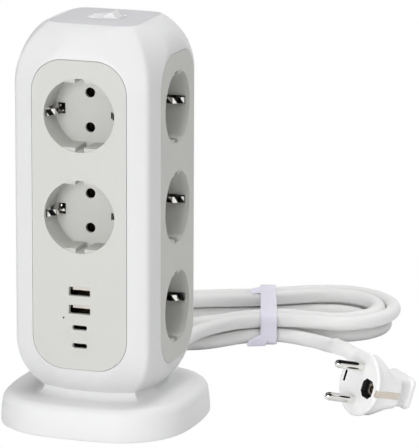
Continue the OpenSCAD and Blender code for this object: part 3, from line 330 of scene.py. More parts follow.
def bands(tree, at):
    """Painted reflection: dark and light bands about 9 mm apart, as polished sheet shows in a
    white room.
    """
    wave = tree.nodes.new("ShaderNodeTexWave")
    wave.bands_direction = "DIAGONAL"
    wave.inputs["Scale"].default_value = BAND_SCALE
    wave.inputs["Distortion"].default_value = BAND_DISTORTION
    ramp = tree.nodes.new("ShaderNodeValToRGB")
    for stop, position in zip(ramp.color_ramp.elements, BAND_EDGES):
        stop.position = position
    tree.links.new(at, wave.inputs["Vector"])
    tree.links.new(wave.outputs["Fac"], ramp.inputs[0])
    return ramp.outputs["Color"]


def depth(tree, at):
    """Painted shade: rises behind the mouth of the charging ports."""
    split = tree.nodes.new("ShaderNodeSeparateXYZ")
    span = tree.nodes.new("ShaderNodeMapRange")
    span.inputs["From Min"].default_value = PORT_MOUTH
    span.inputs["From Max"].default_value = PORT_DARK
    tree.links.new(at, split.inputs[0])
    tree.links.new(split.outputs["Y"], span.inputs["Value"])
    return span.outputs["Result"]


# Painted reflection on the earth clips: dark bands in the chrome
shaded(CLIP, (0.012, 0.012, 0.012), bands)
# Painted shade in the charging ports: the metal darkens behind the mouth
shaded(PORT, (0.10, 0.075, 0.055), depth)


def wear(made, mat):
    made.data.materials.clear()
    made.data.materials.append(mat)


def piece(made, mat, slot, *nodes):
    wear(made, mat)
    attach(made, "base")
    if nodes:
        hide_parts(*nodes)


# Camera, as fitted to the photograph: radians, millimetres, focal length in pixels
CAM_YAW, CAM_PITCH, CAM_ROLL = 0.3238694, 0.2297333, 0.0044332
CAM_AT = (675.904, -1836.142, 566.03)
FOCAL, PHOTO_H, SENSOR = 3688.282, 448.0, 36.0


def aim_camera():
    yaw, pitch, roll = CAM_YAW, CAM_PITCH, CAM_ROLL
    ahead = Vector((-math.sin(yaw) * math.cos(pitch), math.cos(yaw) * math.cos(pitch),
                    -math.sin(pitch)))
    right = Vector((math.cos(yaw), math.sin(yaw), 0))
    up = right.cross(ahead)
    across = math.cos(roll) * right + math.sin(roll) * up
    over = -math.sin(roll) * right + math.cos(roll) * up
    data = bpy.data.cameras.new("camera")
    cam = bpy.data.objects.new("camera", data)
    scene.collection.objects.link(cam)
    cam.matrix_world = moved(CAM_AT, MM) @ Matrix((across, over, -ahead)).transposed().to_4x4()
    data.sensor_width = SENSOR
    data.lens = SENSOR * FOCAL / PHOTO_H
    data.clip_start = 0.05
    data.clip_end = 50
    scene.camera = cam


aim_camera()

# Mains lead: the same route as in the CAD
CORD_D = 8.5
BASE_HALF = 54.2
SLEEVE = 28.0
CORD_Z = 9.4
# Hank: its middle and angle; turns, half its straight run, radius of the inner folds;
# step from turn to turn, rise to the second layer, how far the tie draws the sides in
# and over what reach, share of a turn in which the lead changes layer
HANK_AT, HANK_A = (21.7, 204.3), math.radians(27)
HANK_TURNS, RUN, FOLD = 4, 42.5, 3 * CORD_D
STEP, LAY, WAIST, REACH, SHARE = CORD_D + 1, CORD_D + 0.55, 10.0, 52.0, 0.25
REST_Z = 0.4 * CORD_D
TIE_W, TIE_T, TIE_GAP, TIE_A = 11.0, 0.8, 0.1, math.radians(18)
LIFT = TIE_T + TIE_GAP + CORD_D / 2 - REST_Z
# Plug: middle of its face on the floor plan, radius it lies on, turns; boot's place in it
PLUG_AT, PLUG_R = (130.1, 48.6), 18.4
PLUG_TURN, PLUG_TILT, PLUG_ROLL = -128.2, 14.5, -7.2
BOOT, BOOT_L = (-14.0, -8.0, 8.0), 20.0
PLUG_IN = (moved((PLUG_AT[0], PLUG_AT[1], PLUG_R * math.cos(math.radians(PLUG_TILT))))
           @ turn(PLUG_TURN, "Z") @ turn(-PLUG_TILT, "Y") @ turn(PLUG_ROLL, "X"))
FROM_TOWER = [(0, BASE_HALF + SLEEVE, CORD_Z), (0, BASE_HALF + SLEEVE + CORD_D, CORD_Z),
              (0, 103.5, 9.6), (0, 116.9, 10.3), (2.3, 134.1, 11.8), (8.9, 150.1, 13.2),
              (19.4, 163.8, 13.9), (27.3, 170.6, 14)]
TO_PLUG = [(43.1, 178.3, 5.1), (52.9, 179.5, 4.4), (62.5, 177.9, 3.8), (71.4, 173.8, 3.8),
           (78.7, 167.3, 4.6), (83.5, 160.2, 6.3), (85.7, 154.5, 7.8), (91, 136.6, 13),
           (96.4, 118.2, 18.6), (101.7, 100.4, 23.3), (106, 91.1, 25.3)]
HANK_STEPS, CURVE_STEPS, CORD_SIDES = 24, 4, 24


def waist(s):
    """Share of the drawing-in by the tie, along the hank."""
    return (1 + math.cos(math.pi * s / REACH)) / 2 if abs(s) < REACH else 0.0


def lifted(s):
    """Share of the lift over the tie's lower run, along the hank."""
    return min(1.0, waist(s) / waist(TIE_W))


def hank_point(u):
    """A point of the hank after u turns, in two layers and drawn in under the tie."""
    half = HANK_TURNS / 2
    rho = FOLD + STEP * (abs(u - half) - SHARE)
    down = min(max((u - half + SHARE) / (2 * SHARE), 0), 1)
    f = u - math.floor(u)
    g = f - 1 if f > 0.875 else f
    if g < 0.125:
        s, w = g * 8 * RUN, -rho
    elif g < 0.375:
        a = (g - 0.25) * 4 * math.pi
        s, w = RUN + rho * math.cos(a), rho * math.sin(a)
    elif g < 0.625:
        s, w = (0.5 - g) * 8 * RUN, rho
    else:
        a = (g - 0.75) * 4 * math.pi
        s, w = -RUN - rho * math.cos(a), -rho * math.sin(a)
    drawn = w - (-1 if w < 0 else 1) * WAIST * waist(s)
    return Vector((HANK_AT[0] + s * math.cos(HANK_A) - drawn * math.sin(HANK_A),
                   HANK_AT[1] + s * math.sin(HANK_A) + drawn * math.cos(HANK_A),
                   REST_Z + LIFT * lifted(s) + LAY * (1 - ease(down))))


def route():
    hank = [hank_point(i / HANK_STEPS) for i in range(HANK_TURNS * HANK_STEPS + 1)]
    ends = [PLUG_IN @ Vector((BOOT[0], BOOT[1] - BOOT_L - more, BOOT[2]))
            for more in (CORD_D, 0)]
    return [Vector(p) for p in FROM_TOWER] + hank + [Vector(p) for p in TO_PLUG] + ends


def eased(points, steps):
    """A centripetal curve through the points."""
    def between(a, b, ta, tb, x):
        return a * ((tb - x) / (tb - ta)) + b * ((x - ta) / (tb - ta))

    ext = [2 * points[0] - points[1]] + points + [2 * points[-1] - points[-2]]
    found = []
    for i in range(1, len(ext) - 2):
        p = ext[i - 1:i + 3]
        t = [0.0]
        for a, b in zip(p, p[1:]):
            t.append(t[-1] + max((b - a).length, 1e-6) ** 0.5)
        for k in range(steps):
            x = t[1] + (t[2] - t[1]) * k / steps
            a1, a2, a3 = (between(p[j], p[j + 1], t[j], t[j + 1], x) for j in range(3))
            b1 = between(a1, a2, t[0], t[2], x)
            b2 = between(a2, a3, t[1], t[3], x)
            found.append(between(b1, b2, t[1], t[2], x))
    found.append(points[-1].copy())
    return found


def tube_rings(path, radius, sides):
    """Rings round a path, pressed flat where they would go under the floor."""
    rings = []
    for i, p in enumerate(path):
        t = (path[min(i + 1, len(path) - 1)] - path[max(i - 1, 0)]).normalized()
        u = Vector((0, 0, 1)).cross(t).normalized()
        v = t.cross(u)
        ring = []
        for k in range(sides):
            a = 2 * math.pi * (k + 0.5) / sides
            q = p + radius * (math.cos(a) * u + math.sin(a) * v)
            ring.append((q.x, q.y, max(q.z, 0.0)))
        rings.append(ring)
    return rings


cord_path = eased(route(), CURVE_STEPS)
cord = solid("mains_lead", tube_rings(cord_path, CORD_D / 2, CORD_SIDES))
piece(cord, CORD, "cord_white", "cord_lead_tower", "cord_hank", "cord_lead_plug")
smooth_below(cord, 50)


def rounded_profile(points, radius, steps=5):
    """Rounds the corners of a chain of (x, r) points."""
    found = [points[0]]
    for a, b, c in zip(points, points[1:], points[2:]):
        a, b, c = Vector(a), Vector(b), Vector(c)
        back, on = (a - b), (c - b)
        reach = min(radius, back.length * 0.45, on.length * 0.45)
        p, q = b + back.normalized() * reach, b + on.normalized() * reach
        for k in range(steps + 1):
            t = k / steps
            found.append(tuple((1 - t) ** 2 * p + 2 * t * (1 - t) * b + t * t * q))
    found.append(points[-1])
    return found


# Tapered sleeve at the rear of the base, with its inner neck, flange and sheath:
# (distance from the base's rear, radius)
SHEATH_END = 28 - BASE_HALF
SLEEVE_PROFILE = [
    (SHEATH_END, 0.0), (SHEATH_END, 4.25), (-6.5, 4.25), (-6.5, 7.6), (-4.0, 7.6), (-3.5, 5.6),
    (0, 5.6), (0, 7.2), (3.2, 7.0), (3.9, 6.5), (26.8, 5.35), (SLEEVE, 5.2), (SLEEVE, 4.3),
    (SLEEVE - 2, 4.25), (SLEEVE - 2, 0.0)]
AT_EXIT = moved((0, BASE_HALF, CORD_Z), MM) @ turn(90, "Z")
sleeve = turned("lead_sleeve", rounded_profile(SLEEVE_PROFILE, 0.7))
sleeve.matrix_world = AT_EXIT
piece(sleeve, CORD, "cord_white", "strain_relief")
smooth_below(sleeve, 40)

# Tie: a soft strap round the waist of the hank, its ends lapped over and under
STRAP_W, STRAP_ON, STRAP_SLACK = 9.8, 6.5, 2.2
STRAP_STEPS, STRAP_LIP = 10, 0.45
STRAP_R, STRAP_SIDE_Z = 4.4, 9.6
tie_near = FOLD + STEP * (HANK_TURNS / 2 - SHARE) - WAIST + CORD_D / 2 + 3
tie_far = tie_near - STEP / 2
tie_high = REST_Z + LIFT + LAY + CORD_D / 2 + TIE_GAP


def strap(name, outline):
    """A closed strap along an outline of (w, z) points, with rounded edges."""
    rings = []
    n = len(outline)
    for i, p in enumerate(outline):
        d = (Vector(outline[(i + 1) % n]) - Vector(outline[(i - 1) % n])).normalized()
        out = Vector((d.y, -d.x))
        over, below = [], []
        for k in range(STRAP_STEPS + 1):
            s = (k / STRAP_STEPS - 0.5) * STRAP_W
            lip = 1.0 if 0 < k < STRAP_STEPS else STRAP_LIP
            for side, share in ((over, lip), (below, (1 - lip) * 0.5)):
                side.append((s, p[0] + out.x * TIE_T * share, p[1] + out.y * TIE_T * share))
        rings.append(over + below[::-1])
    made = add_mesh(name, *loft(rings + rings[:1], False))
    with editing(made) as bm:
        bmesh.ops.remove_doubles(bm, verts=bm.verts, dist=1e-6)
        bmesh.ops.recalc_face_normals(bm, faces=bm.faces)
    return made


def tie_outline():
    """Round the hank: near side, top, far side and floor, sagging a little between."""
    lo, hi, r = TIE_T, tie_high, STRAP_R
    near, far = -tie_near, tie_far + STRAP_SLACK
    pts = arc(near + r, lo + r, r, 270, 180)
    pts += [(near + 0.35, STRAP_SIDE_Z)]
    pts += arc(near + r, hi - r, r, 180, 90)
    pts += [(near + 14, hi - 0.1), (0.5 * (near + far), hi - 0.55), (far - 14, hi - 0.1)]
    pts += arc(far - r, hi - r, r, 90, 0)
    pts += [(far - 0.35, STRAP_SIDE_Z)]
    pts += arc(far - r, lo + r, r, 0, -90)
    pts += [(far - 16, lo), (0, lo), (near + 16, lo)]
    return pts


def flap(spot, along, across, step=0.01):
    """A thin loose end of the strap over spot(u, v), thick on the side away from the cord."""
    rings = []
    for i in range(along + 1):
        below = [Vector(spot(i / along, k / across)) for k in range(across + 1)]
        over = []
        for k in range(across + 1):
            u, v = i / along, k / across
            du = Vector(spot(min(u + step, 1), v)) - Vector(spot(max(u - step, 0), v))
            dv = Vector(spot(u, min(v + step, 1))) - Vector(spot(u, max(v - step, 0)))
            over.append(below[k] + TIE_T * du.cross(dv).normalized())
        rings.append([tuple(p) for p in below + over[::-1]])
    return solid("flap", rings)


def tail_spot(u, v):
    """Lower end: fans out to the left along the floor, in front of the hank."""
    start, length, clear, spread = 4, 12, 0.9, 1.2
    bottom, height, fall = 0.2, 8.4, 5.4
    top = height - fall * u ** 1.5
    return (-STRAP_W / 2 + start - length * u, -tie_near - clear - spread * u * (1 - v),
            bottom + (top - bottom) * v)


def wing_spot(u, v):
    """Upper end: lapped over the far edge, sagging at its tip."""
    start, length, back, width, taper, sag = 8, 14, 20, 17, 4, 0.9
    return (-STRAP_W / 2 + start - length * u, tie_far - back + (width - taper * u) * v,
            tie_high + TIE_T - 0.1 - sag * u * u)


tie = strap("hank_strap", tie_outline()[::-1])
tie.matrix_world = moved((HANK_AT[0] + STRAP_ON * math.cos(HANK_A),
                          HANK_AT[1] + STRAP_ON * math.sin(HANK_A), 0), MM) \
    @ Matrix.Rotation(TIE_A, 4, "Z")
flaps = [flap(tail_spot, 8, 4), flap(wing_spot, 8, 6)]
with editing(tie) as mesh:
    for part in flaps:
        mesh.from_mesh(part.data)
        bpy.data.objects.remove(part)
all_smooth(tie)
piece(tie, TIE, "tie_lavender", "hank_tie")
tie.modifiers.new("round", "SUBSURF").render_levels = 1

# Casing: faces and borders stand upright and bend in on an arc at each end.
# Distances are from the axis; a face or border ends at *_END after a rise of *_BEND.
BASE_H, TOWER_H = 20.0, 202.8
TOP_Z, MID_Z = BASE_H + TOWER_H, BASE_H + TOWER_H / 2
FACE, BORDER, TILT = 41.3, 47.4, 17.5
FACE_END, BORDER_END, FACE_BEND, BORDER_BEND = 25.7, 29.6, 19.8, 31.8
PANEL_W, PANEL_H, PANEL_R, GAP = 53.5, 169.0, 17.5, 0.25
BEND_STEPS, FLAT_STEPS = 30, 10
CORNER_R, FACE_EDGE_R, EDGE_R_GAIN = 4.0, 4.0, 20.0
LIP_CORNER_R, LIP_EDGE_R = 7.0, 20.0
WALL, WALL_CORNER_R, WALL_EDGE_R, FLOOR_T, ROOF_T = 2.6, 3.0, 1.6, 3, 5
WINDOW_FROM, WINDOW_TO = 34, 60


def into_bend(z, bend):
    """How far a height is inside the bend at either end."""
    return max(z - (TOP_Z - bend), (BASE_H + bend) - z, 0.0)


def bent(dist, end, bend, z):
    """Distance of a flank from the axis at a height: upright, then an arc at each end."""
    r = ((dist - end) ** 2 + bend ** 2) / (2 * (dist - end))
    into = into_bend(z, bend)
    return dist - r + math.sqrt(max(r * r - into * into, 0.0))


def flanks(z):
    """Distances of the faces and of the borders from the axis at a height."""
    return bent(FACE, FACE_END, FACE_BEND, z), bent(BORDER, BORDER_END, BORDER_BEND, z)


def meet(a, da, b, db):
    """Where two planes, by normal angle and distance, cross."""
    a, b = math.radians(a), math.radians(b)
    det = math.sin(b - a)
    return ((da * math.sin(b) - db * math.sin(a)) / det,
            (db * math.cos(a) - da * math.cos(b)) / det)


def tower_section(face, border, corner_r, edge_r, flat_steps=6, arc_steps=6, grow=0.0):
    """Section through four faces and eight borders. Two borders meet at corner_r,
    a face and a border at edge_r."""
    planes = []
    for t in TURNS:
        planes += [(t, face + grow), (t + TILT, border + grow), (t + 90 - TILT, border + grow)]
    arcs = []
    for i, ((a, da), (b, db)) in enumerate(zip(planes, planes[1:] + planes[:1])):
        if b < a:
            b += 360
        r = corner_r if i % 3 == 1 else edge_r
        arcs.append(arc(*meet(a, da - r, b, db - r), r, a, b, arc_steps))
    ring = []
    for here, after in zip(arcs, arcs[1:] + arcs[:1]):
        p, q = here[-1], after[0]
        ring += here + [(p[0] + (q[0] - p[0]) * k / flat_steps,
                         p[1] + (q[1] - p[1]) * k / flat_steps) for k in range(1, flat_steps)]
    return ring


def levels():
    low = [BASE_H + BORDER_BEND * (1 - math.cos(math.pi / 2 * k / BEND_STEPS))
           for k in range(BEND_STEPS + 1)]
    high = [TOP_Z - (z - BASE_H) for z in reversed(low)]
    flat = [low[-1] + (high[0] - low[-1]) * k / FLAT_STEPS for k in range(1, FLAT_STEPS)]
    return low + flat + high


def casing_rings():
    rings = []
    for z in levels():
        near_end = ease(into_bend(z, BORDER_BEND) / BORDER_BEND)
        rings.append(raised(tower_section(*flanks(z), CORNER_R,
                                          FACE_EDGE_R + EDGE_R_GAIN * near_end), z))
    # rounded lip at the top, then the seat of the top plate
    for inset, drop in ((0.25, 0.0), (0.5, -0.12), (0.55, -0.6), (0.55, -1.9)):
        rings.append(raised(tower_section(FACE_END, BORDER_END, LIP_CORNER_R - inset,
                                          LIP_EDGE_R - inset, grow=-inset), TOP_Z + drop))
    return rings


def hollow_rings():
    """The room inside the casing's wall."""
    return [raised(tower_section(*flanks(z), WALL_CORNER_R, WALL_EDGE_R, grow=-WALL), z)
            for z in levels()[::3] if BASE_H + FLOOR_T < z < TOP_Z - ROOF_T]


def window(t):
    """A cutter for the panel's opening in the face at an angle."""
    outline = rounded_outline(PANEL_W + 2 * GAP, PANEL_H + 2 * GAP, PANEL_R + GAP)
    made = solid("window%d" % t, [[(u, -dist, MID_Z + v) for u, v in outline]
                                  for dist in (WINDOW_TO, WINDOW_FROM)], smooth=False)
    made.data.transform(turn(t, "Z"))
    return made


casing = solid("tower_casing", casing_rings())
combine(casing, [solid("hollow", hollow_rings())] + [window(t) for t in TURNS])
piece(casing, SHELL, "shell_white", "casing")
smooth_below(casing, 25)

# Top plate, with an eased upper edge and the switch's opening
TOP_GAP, TOP_LIP, TOP_LIP_STEPS = 0.7, 0.35, 4
TOP_CORNER_R, TOP_EDGE_R = 6.2, 14.0
TOP_LOW, TOP_HIGH = TOP_Z - 2, TOP_Z - 0.02
SWITCH_X, SWITCH_W, SWITCH_D = 0.8, 18.4, 12.9


def top_outline(inset):
    return tower_section(FACE_END - TOP_GAP - inset, BORDER_END - TOP_GAP - inset,
                         TOP_CORNER_R, TOP_EDGE_R, 3, 8)


plate_rings = [raised(top_outline(0.0), TOP_LOW)]
for k in range(TOP_LIP_STEPS + 1):
    a = math.pi / 2 * k / TOP_LIP_STEPS
    plate_rings.append(raised(top_outline(TOP_LIP * (1 - math.cos(a))),
                              TOP_HIGH - TOP_LIP + TOP_LIP * math.sin(a)))
plate = solid("top_cover", plate_rings)
opening = [(SWITCH_X + x, y) for x, y in rounded_outline(SWITCH_W, SWITCH_D, 1.0, 6)]
combine(plate, [solid("opening", [raised(opening, z) for z in (TOP_Z - 5, TOP_Z + 5)])])
piece(plate, TOP, "panel_grey", "top_plate")
smooth_below(plate, 30)

# Base: bowed sides, a soft rim, a dish that climbs to the foot of the tower
BASE_BOW, BASE_CORNER, BASE_SIDES = 146, 37, 192
RIM_H, RIM_R, FLARE, SKIRT = BASE_H - 1.8, 5.4, 1.0, 1.9
FOOT_UP, FOOT_IN = 2.6, 0.6
FOOT_FACE, FOOT_BORDER = (dist - FOOT_IN for dist in flanks(BASE_H + FOOT_UP))
FLARE_STEPS, RIM_STEPS, DISH_STEPS = 8, 12, 40
# (share of the way in, height) across the dish
DISH = [(0.0, RIM_H), (0.14, RIM_H - 0.12), (0.36, RIM_H - 0.3), (0.56, RIM_H - 0.25),
        (0.74, RIM_H + 0.2), (0.86, RIM_H + 1.1), (0.95, RIM_H + 2.5), (1.0, BASE_H + FOOT_UP)]


def base_section(inset, share):
    """Plan of the base at an inset, moved by a share of the way to the tower's foot."""
    side_c = BASE_BOW - BASE_HALF
    corner = (math.sqrt(2 * (BASE_BOW - BASE_CORNER) ** 2 - side_c ** 2) - side_c) / 2
    seam = math.atan2(corner, corner + side_c)
    tangent = math.atan2(corner + BASE_CORNER * math.sin(seam),
                         corner + BASE_CORNER * math.cos(seam))
    c = corner * math.sqrt(2)
    ring = []
    for i in range(BASE_SIDES):
        a = 2 * math.pi * i / BASE_SIDES
        s = abs((a + math.pi / 4) % (math.pi / 2) - math.pi / 4)
        d = math.pi / 4 - s
        if s < tangent:
            r = math.sqrt(BASE_BOW ** 2 - (side_c * math.sin(s)) ** 2) - side_c * math.cos(s)
        else:
            r = c * math.cos(d) + math.sqrt(BASE_CORNER ** 2 - (c * math.sin(d)) ** 2)
        foot = min(FOOT_FACE / math.cos(s), FOOT_BORDER / math.cos(s - math.radians(TILT)))
        start = r - inset
        rr = start + share * (foot - start)
        ring.append((rr * math.cos(a), rr * math.sin(a)))
    return ring


def dish_height(x):
    """A smooth curve through the heights of the dish."""
    k = next(j for j in range(len(DISH) - 1) if x <= DISH[j + 1][0] + 1e-9)
    (x0, h0), (x1, h1) = DISH[k], DISH[k + 1]
    before, after = DISH[max(k - 1, 0)], DISH[min(k + 2, len(DISH) - 1)]
    m0 = (h1 - before[1]) / (x1 - before[0])
    m1 = (after[1] - h0) / (after[0] - x0)
    t, w = (x - x0) / (x1 - x0), x1 - x0
    return ((2 * t ** 3 - 3 * t ** 2 + 1) * h0 + (t ** 3 - 2 * t ** 2 + t) * m0 * w
            + (-2 * t ** 3 + 3 * t ** 2) * h1 + (t ** 3 - t ** 2) * m1 * w)


def base_profile():
    """(inset, height, share) up the side, over the rim and across the dish."""
    pts = [(0.9, 0.8, 0), (0.25, 1.1, 0), (0.0, SKIRT, 0)]
    for k in range(1, FLARE_STEPS + 1):
        t = k / FLARE_STEPS
        pts.append((FLARE * t * t, SKIRT + (RIM_H - RIM_R - SKIRT) * t, 0))
    for k in range(1, RIM_STEPS + 1):
        a = math.pi / 2 * k / RIM_STEPS
        pts.append((FLARE + RIM_R * (1 - math.cos(a)), RIM_H - RIM_R * (1 - math.sin(a)), 0))
    for k in range(1, DISH_STEPS + 1):
        x = k / DISH_STEPS
        pts.append((FLARE + RIM_R, dish_height(x), x))
    return pts


base = solid("base_cover", [raised(base_section(inset, share), z)
                            for inset, z, share in base_profile()])
under = solid("under", [raised(base_section(2.4, 0), z) for z in (-3, 2.8)], smooth=False)
notch = turned("notch", [(-30, 0), (-30, 5.62), (10, 5.62), (10, 0)], 48)
notch.matrix_world = AT_EXIT
combine(base, [under, notch])
piece(base, BASE, "shell_white", "base_shell")
smooth_below(base, 30)

# Plug, in its own axes: X out of the face, Y towards the earth contact's hole.
# (x, half width, half height, squareness) from the face to the end of the grip
PLUG_STATIONS = [
    (-0.35, 17.7, 17.7, 2), (-1.0, 18.2, 18.2, 2), (-4.0, 17.4, 17.4, 2),
    (-8.0, 16.9, 16.7, 2.1), (-10.5, 16.9, 14.6, 2.3), (-14.0, 16.9, 11.2, 2.8),
    (-16.0, 16.8, 10.2, 3.2), (-17.6, 16.6, 9.6, 3.6), (-19.0, 14.4, 9.1, 4),
    (-21.5, 11.8, 8.7, 4.6), (-25.0, 11.2, 8.5, 5), (-27.6, 11.0, 8.4, 5),
    (-28.0, 11.3, 8.6, 6), (-28.4, 11.8, 9.0, 7), (-30.2, 11.8, 9.0, 7), (-30.6, 11.5, 8.7, 7)]
PLUG_FACE_R, PLUG_SIDES, PLUG_VOXEL = 17.1, 72, 0.42
BOOT_PROFILE = [(0, 0), (0, 5.2), (6, 4.95), (BOOT_L - 1.0, 4.5), (BOOT_L - 0.2, 4.4),
                (BOOT_L, 4.28), (BOOT_L, 0)]
EARTH_HOLE = [(5.2, 2.6), (2.6, 5.2), (-2.6, 5.2), (-5.2, 2.6),
              (-5.2, -2.6), (-2.6, -5.2), (2.6, -5.2), (5.2, -2.6)]
EARTH_HOLE_Y, EARTH_HOLE_DEEP = 9, 12
SLOT_Y, SLOT_W, SLOT_H, SLOT_DEEP = -12.9, 1.8, 6.4, 8
RECESS_DEEP, RECESS_Y, RECESS_HALF = 16.8, 16.2, 2
PROUD = 3


def oval(half_w, half_h, power):
    ring = []
    for k in range(PLUG_SIDES):
        a = 2 * math.pi * k / PLUG_SIDES
        c, s = math.cos(a), math.sin(a)
        q = (abs(c) ** power + abs(s) ** power) ** (-1 / power)
        ring.append((half_w * c * q, half_h * s * q))
    return ring


def across_x(outline, x):
    return [(x, y, z) for y, z in outline]


def plug_shape():
    """Round head, flattened neck, boxy grip with an end rim, and the lead's boot."""
    rings = [across_x(oval(PLUG_FACE_R, PLUG_FACE_R, 2), 0.0)]
    rings += [across_x(oval(w, h, p), x) for x, w, h, p in PLUG_STATIONS]
    body = solid("plug_cover", rings)
    boot = turned("boot", BOOT_PROFILE, 48)
    boot.data.transform(moved(BOOT, MM) @ turn(-90, "Z"))
    combine(body, [boot], "UNION")
    body.modifiers.new("remesh", "REMESH").voxel_size = PLUG_VOXEL * MM
    body.modifiers.new("blend", "SMOOTH").iterations = 5
    bake(body)
    return body


def plug_tools():
    """Earth contact hole, slot beside it, and a recess at each side."""
    hole = [(EARTH_HOLE_Y + y, z) for y, z in EARTH_HOLE]
    slot = [(SLOT_Y + y, z) for y, z in rounded_outline(SLOT_W, SLOT_H, 0.5, 3)]
    tools = [solid("tool", [across_x(outline, x) for x in (-deep, PROUD)], smooth=False)
             for outline, deep in ((hole, EARTH_HOLE_DEEP), (slot, SLOT_DEEP))]
    for side in (-1, 1):
        recess = [(-RECESS_DEEP, RECESS_Y * side), (PROUD, RECESS_Y * side),
                  (PROUD, 24 * side), (-RECESS_DEEP, 24 * side)]
        tools.append(solid("tool", [raised(recess, z) for z in (-RECESS_HALF, RECESS_HALF)],
                           smooth=False))
    return tools


def in_plug_hole(at):
    """Whether a point in millimetres is on a wall of the earth hole or the slot."""
    return (at.x < -0.4 and abs(at.z) < 5.3
            and (abs(at.y - EARTH_HOLE_Y) < 5.3 and at.x > -EARTH_HOLE_DEEP - 0.1
                 or abs(at.y - SLOT_Y) < 1 and at.x > -SLOT_DEEP - 0.1))


plug = plug_shape()
combine(plug, plug_tools())
plug.data.transform(Matrix.Scale(1 / MM, 4))
inside = [poly.index for poly in plug.data.polygons if in_plug_hole(poly.center)]
plug.data.transform(PLUG_IN)
plug.data.transform(Matrix.Scale(MM, 4))
all_smooth(plug)
piece(plug, PLUG, "plug_white", "plug_body")
# The walls of the earth hole and the slot wear black: painted shade inside the white plug
plug.data.materials.append(BLACK_AND_HOLE_SHADE)
for i in inside:
    plug.data.polygons[i].material_index = 1
smooth_below(plug, 38)

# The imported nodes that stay: material and edge rounding (0: smooth shading only)
LOOK = {
    "base_plate": (PLATE, 0.3), "rubber_feet": (RUBBER, 0.3), "base_screws": (SCREW, 0.15),
    "tower_screws": (SCREW, 0.15), "switch_housing": (SWITCH, 0.25),
    "switch_rocker": (SWITCH, 0.45), "switch_plunger": (BLACK_AND_HOLE_SHADE, 0.0),
    "contact_lever": (BRASS_PAINTED_DARK, 0.1), "switch_terminals": (BRASS_PAINTED_DARK, 0.1),
    "carrier_screws": (SCREW, 0.15), "live_link": (BRASS_PAINTED_DARK, 0.1), "neutral_link": (BRASS_PAINTED_DARK, 0.1),
    "earth_link": (EARTH, 0.1), "usb_board": (BOARD, 0.1), "usb_c_bezels": (PANEL, 0.12),
    "usb_transformer": (TAPE, 0.3), "usb_screws": (SCREW, 0.15),
    "indicator_light": (BLACK_AND_HOLE_SHADE, 0.0), "live_feed_wire": (BROWN, 0.0),
    "switched_live_wire": (BROWN, 0.0), "neutral_wire": (BLUE, 0.0), "earth_wire": (GREEN, 0.0),
    "cord_clamp": (CORD, 0.4), "plug_pins": (CHROME, 0.1), "plug_earth_contacts": (EARTH, 0.12),
}
for side in ("front", "right", "rear", "left"):
    LOOK[side + "_panel"] = (PANEL, 0.3)
    LOOK[side + "_contact_carrier"] = (BLACK_AND_HOLE_SHADE, 0.2)
    LOOK[side + "_live_bar"] = (BRASS_PAINTED_DARK, 0.1)
    LOOK[side + "_neutral_bar"] = (BRASS_PAINTED_DARK, 0.1)
    LOOK[side + "_earth_bar"] = (CLIP, 0.15)
for port in ("usb_a_port_upper", "usb_a_port_lower", "usb_c_port_upper", "usb_c_port_lower"):
    LOOK[port] = (PORT, 0.1)
for name, (mat, width) in LOOK.items():
    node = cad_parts[name]
    wear(node, mat)
    if width:
        soften(node, width)
    else:
        smooth_below(node, 35)

# Contact tongues of the wide ports, by the height of their middle
TONGUES = {"usb_a_port_upper": 80.1, "usb_a_port_lower": 70.1}
TONGUE_HALF, TONGUE_Y, TONGUE_Z = 5.6, (-36.8, -30), (-0.3, 1.7)
for name, height in TONGUES.items():
    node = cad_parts[name]
    node.data.materials.append(TONGUE)
    for poly in node.data.polygons:
        at = poly.center / MM
        if (abs(at.x) < TONGUE_HALF and TONGUE_Y[0] < at.y < TONGUE_Y[1]
                and TONGUE_Z[0] < at.z - height < TONGUE_Z[1]):
            poly.material_index = 1

# Floor and light
FLOOR_HALF, FLOOR_DROP = 6000, 0.0002
# For mirrors: a bright wall below, a dark ceiling above, by the height of the ray
CLIMB_FROM, CLIMB_TO, WALL_GLOW, CEILING_GLOW = 0.22, 0.34, 0.9, 0.02
SOFT_GLOW = 0.1
AIM = (0, 0, 0.1)
# name, place, size, power in watts; all but the front one stay out of mirrors
LAMPS = (("front", (-0.2, -2.6, 0.55), 1.2, 38), ("front_high", (0.0, -1.7, 1.9), 1.2, 5),
         ("top", (0.0, 0.0, 2.4), 1.6, 29), ("back", (0.6, 2.0, 1.6), 1.4, 27),
         ("right", (1.5, -1.0, 1.7), 1.2, 10), ("left", (-1.7, -0.9, 1.3), 1.2, 3))


def mixed(tree, by, first, second):
    """The second shader where the socket is one, the first where it is nought."""
    mix = tree.nodes.new("ShaderNodeMixShader")
    for i, socket in enumerate((by, first, second)):
        tree.links.new(socket, mix.inputs[i])
    return mix.outputs[0]


def glow(tree, tone, strength=1.0):
    made = tree.nodes.new("ShaderNodeBackground")
    made.inputs["Color"].default_value = (tone, tone, tone, 1)
    made.inputs["Strength"].default_value = strength
    return made


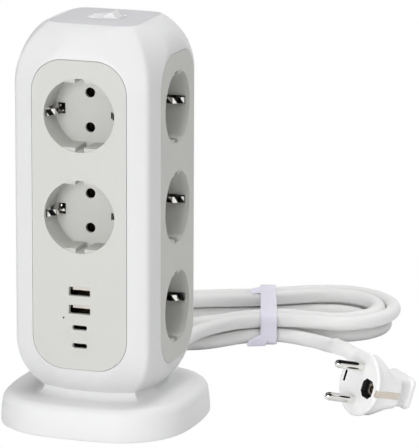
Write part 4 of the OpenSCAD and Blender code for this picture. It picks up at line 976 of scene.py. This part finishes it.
def floor():
    """A plain pale floor: a soft white bounce below, plain white to the camera."""
    h = FLOOR_HALF
    made = add_mesh("floor", [(-h, -h, 0), (h, -h, 0), (h, h, 0), (-h, h, 0)], [(0, 1, 2, 3)])
    made.location.z = -FLOOR_DROP
    mat = bpy.data.materials.new("floor_white")
    tree = blank(mat)
    out = tree.nodes.new("ShaderNodeOutputMaterial")
    seen = tree.nodes.new("ShaderNodeLightPath")
    plain = tree.nodes.new("ShaderNodeBsdfDiffuse")
    plain.inputs["Color"].default_value = (0.85, 0.85, 0.85, 1)
    white = tree.nodes.new("ShaderNodeEmission")
    tree.links.new(mixed(tree, seen.outputs["Is Camera Ray"], plain.outputs[0],
                         white.outputs[0]), out.inputs["Surface"])
    made.data.materials.append(mat)


def sky():
    """White to the camera, the room to mirrors, a soft fill to everything else."""
    world = bpy.data.worlds.new("studio")
    tree = blank(world)
    new, link = tree.nodes.new, tree.links.new
    out = new("ShaderNodeOutputWorld")
    seen = new("ShaderNodeLightPath")
    split = new("ShaderNodeSeparateXYZ")
    climb = new("ShaderNodeMapRange")
    for name, value in (("From Min", CLIMB_FROM), ("From Max", CLIMB_TO),
                        ("To Min", WALL_GLOW), ("To Max", CEILING_GLOW)):
        climb.inputs[name].default_value = value
    soft, room, white = glow(tree, 1, SOFT_GLOW), glow(tree, 0.8), glow(tree, 1)
    link(new("ShaderNodeTexCoord").outputs["Generated"], split.inputs[0])
    link(split.outputs["Z"], climb.inputs["Value"])
    link(climb.outputs["Result"], room.inputs["Strength"])
    first = mixed(tree, seen.outputs["Is Glossy Ray"], soft.outputs[0], room.outputs[0])
    link(mixed(tree, seen.outputs["Is Camera Ray"], first, white.outputs[0]),
         out.inputs["Surface"])
    scene.world = world


def lamp(name, at, size, power):
    """A square lamp turned to the foot of the tower."""
    data = bpy.data.lights.new(name, "AREA")
    data.size = size
    data.energy = power
    made = bpy.data.objects.new(name, data)
    scene.collection.objects.link(made)
    made.location = Vector(at)
    made.rotation_mode = "QUATERNION"
    made.rotation_quaternion = (Vector(AIM) - Vector(at)).to_track_quat("-Z", "Y")
    made.visible_glossy = name == "front"


floor()
sky()
for spec in LAMPS:
    lamp(*spec)
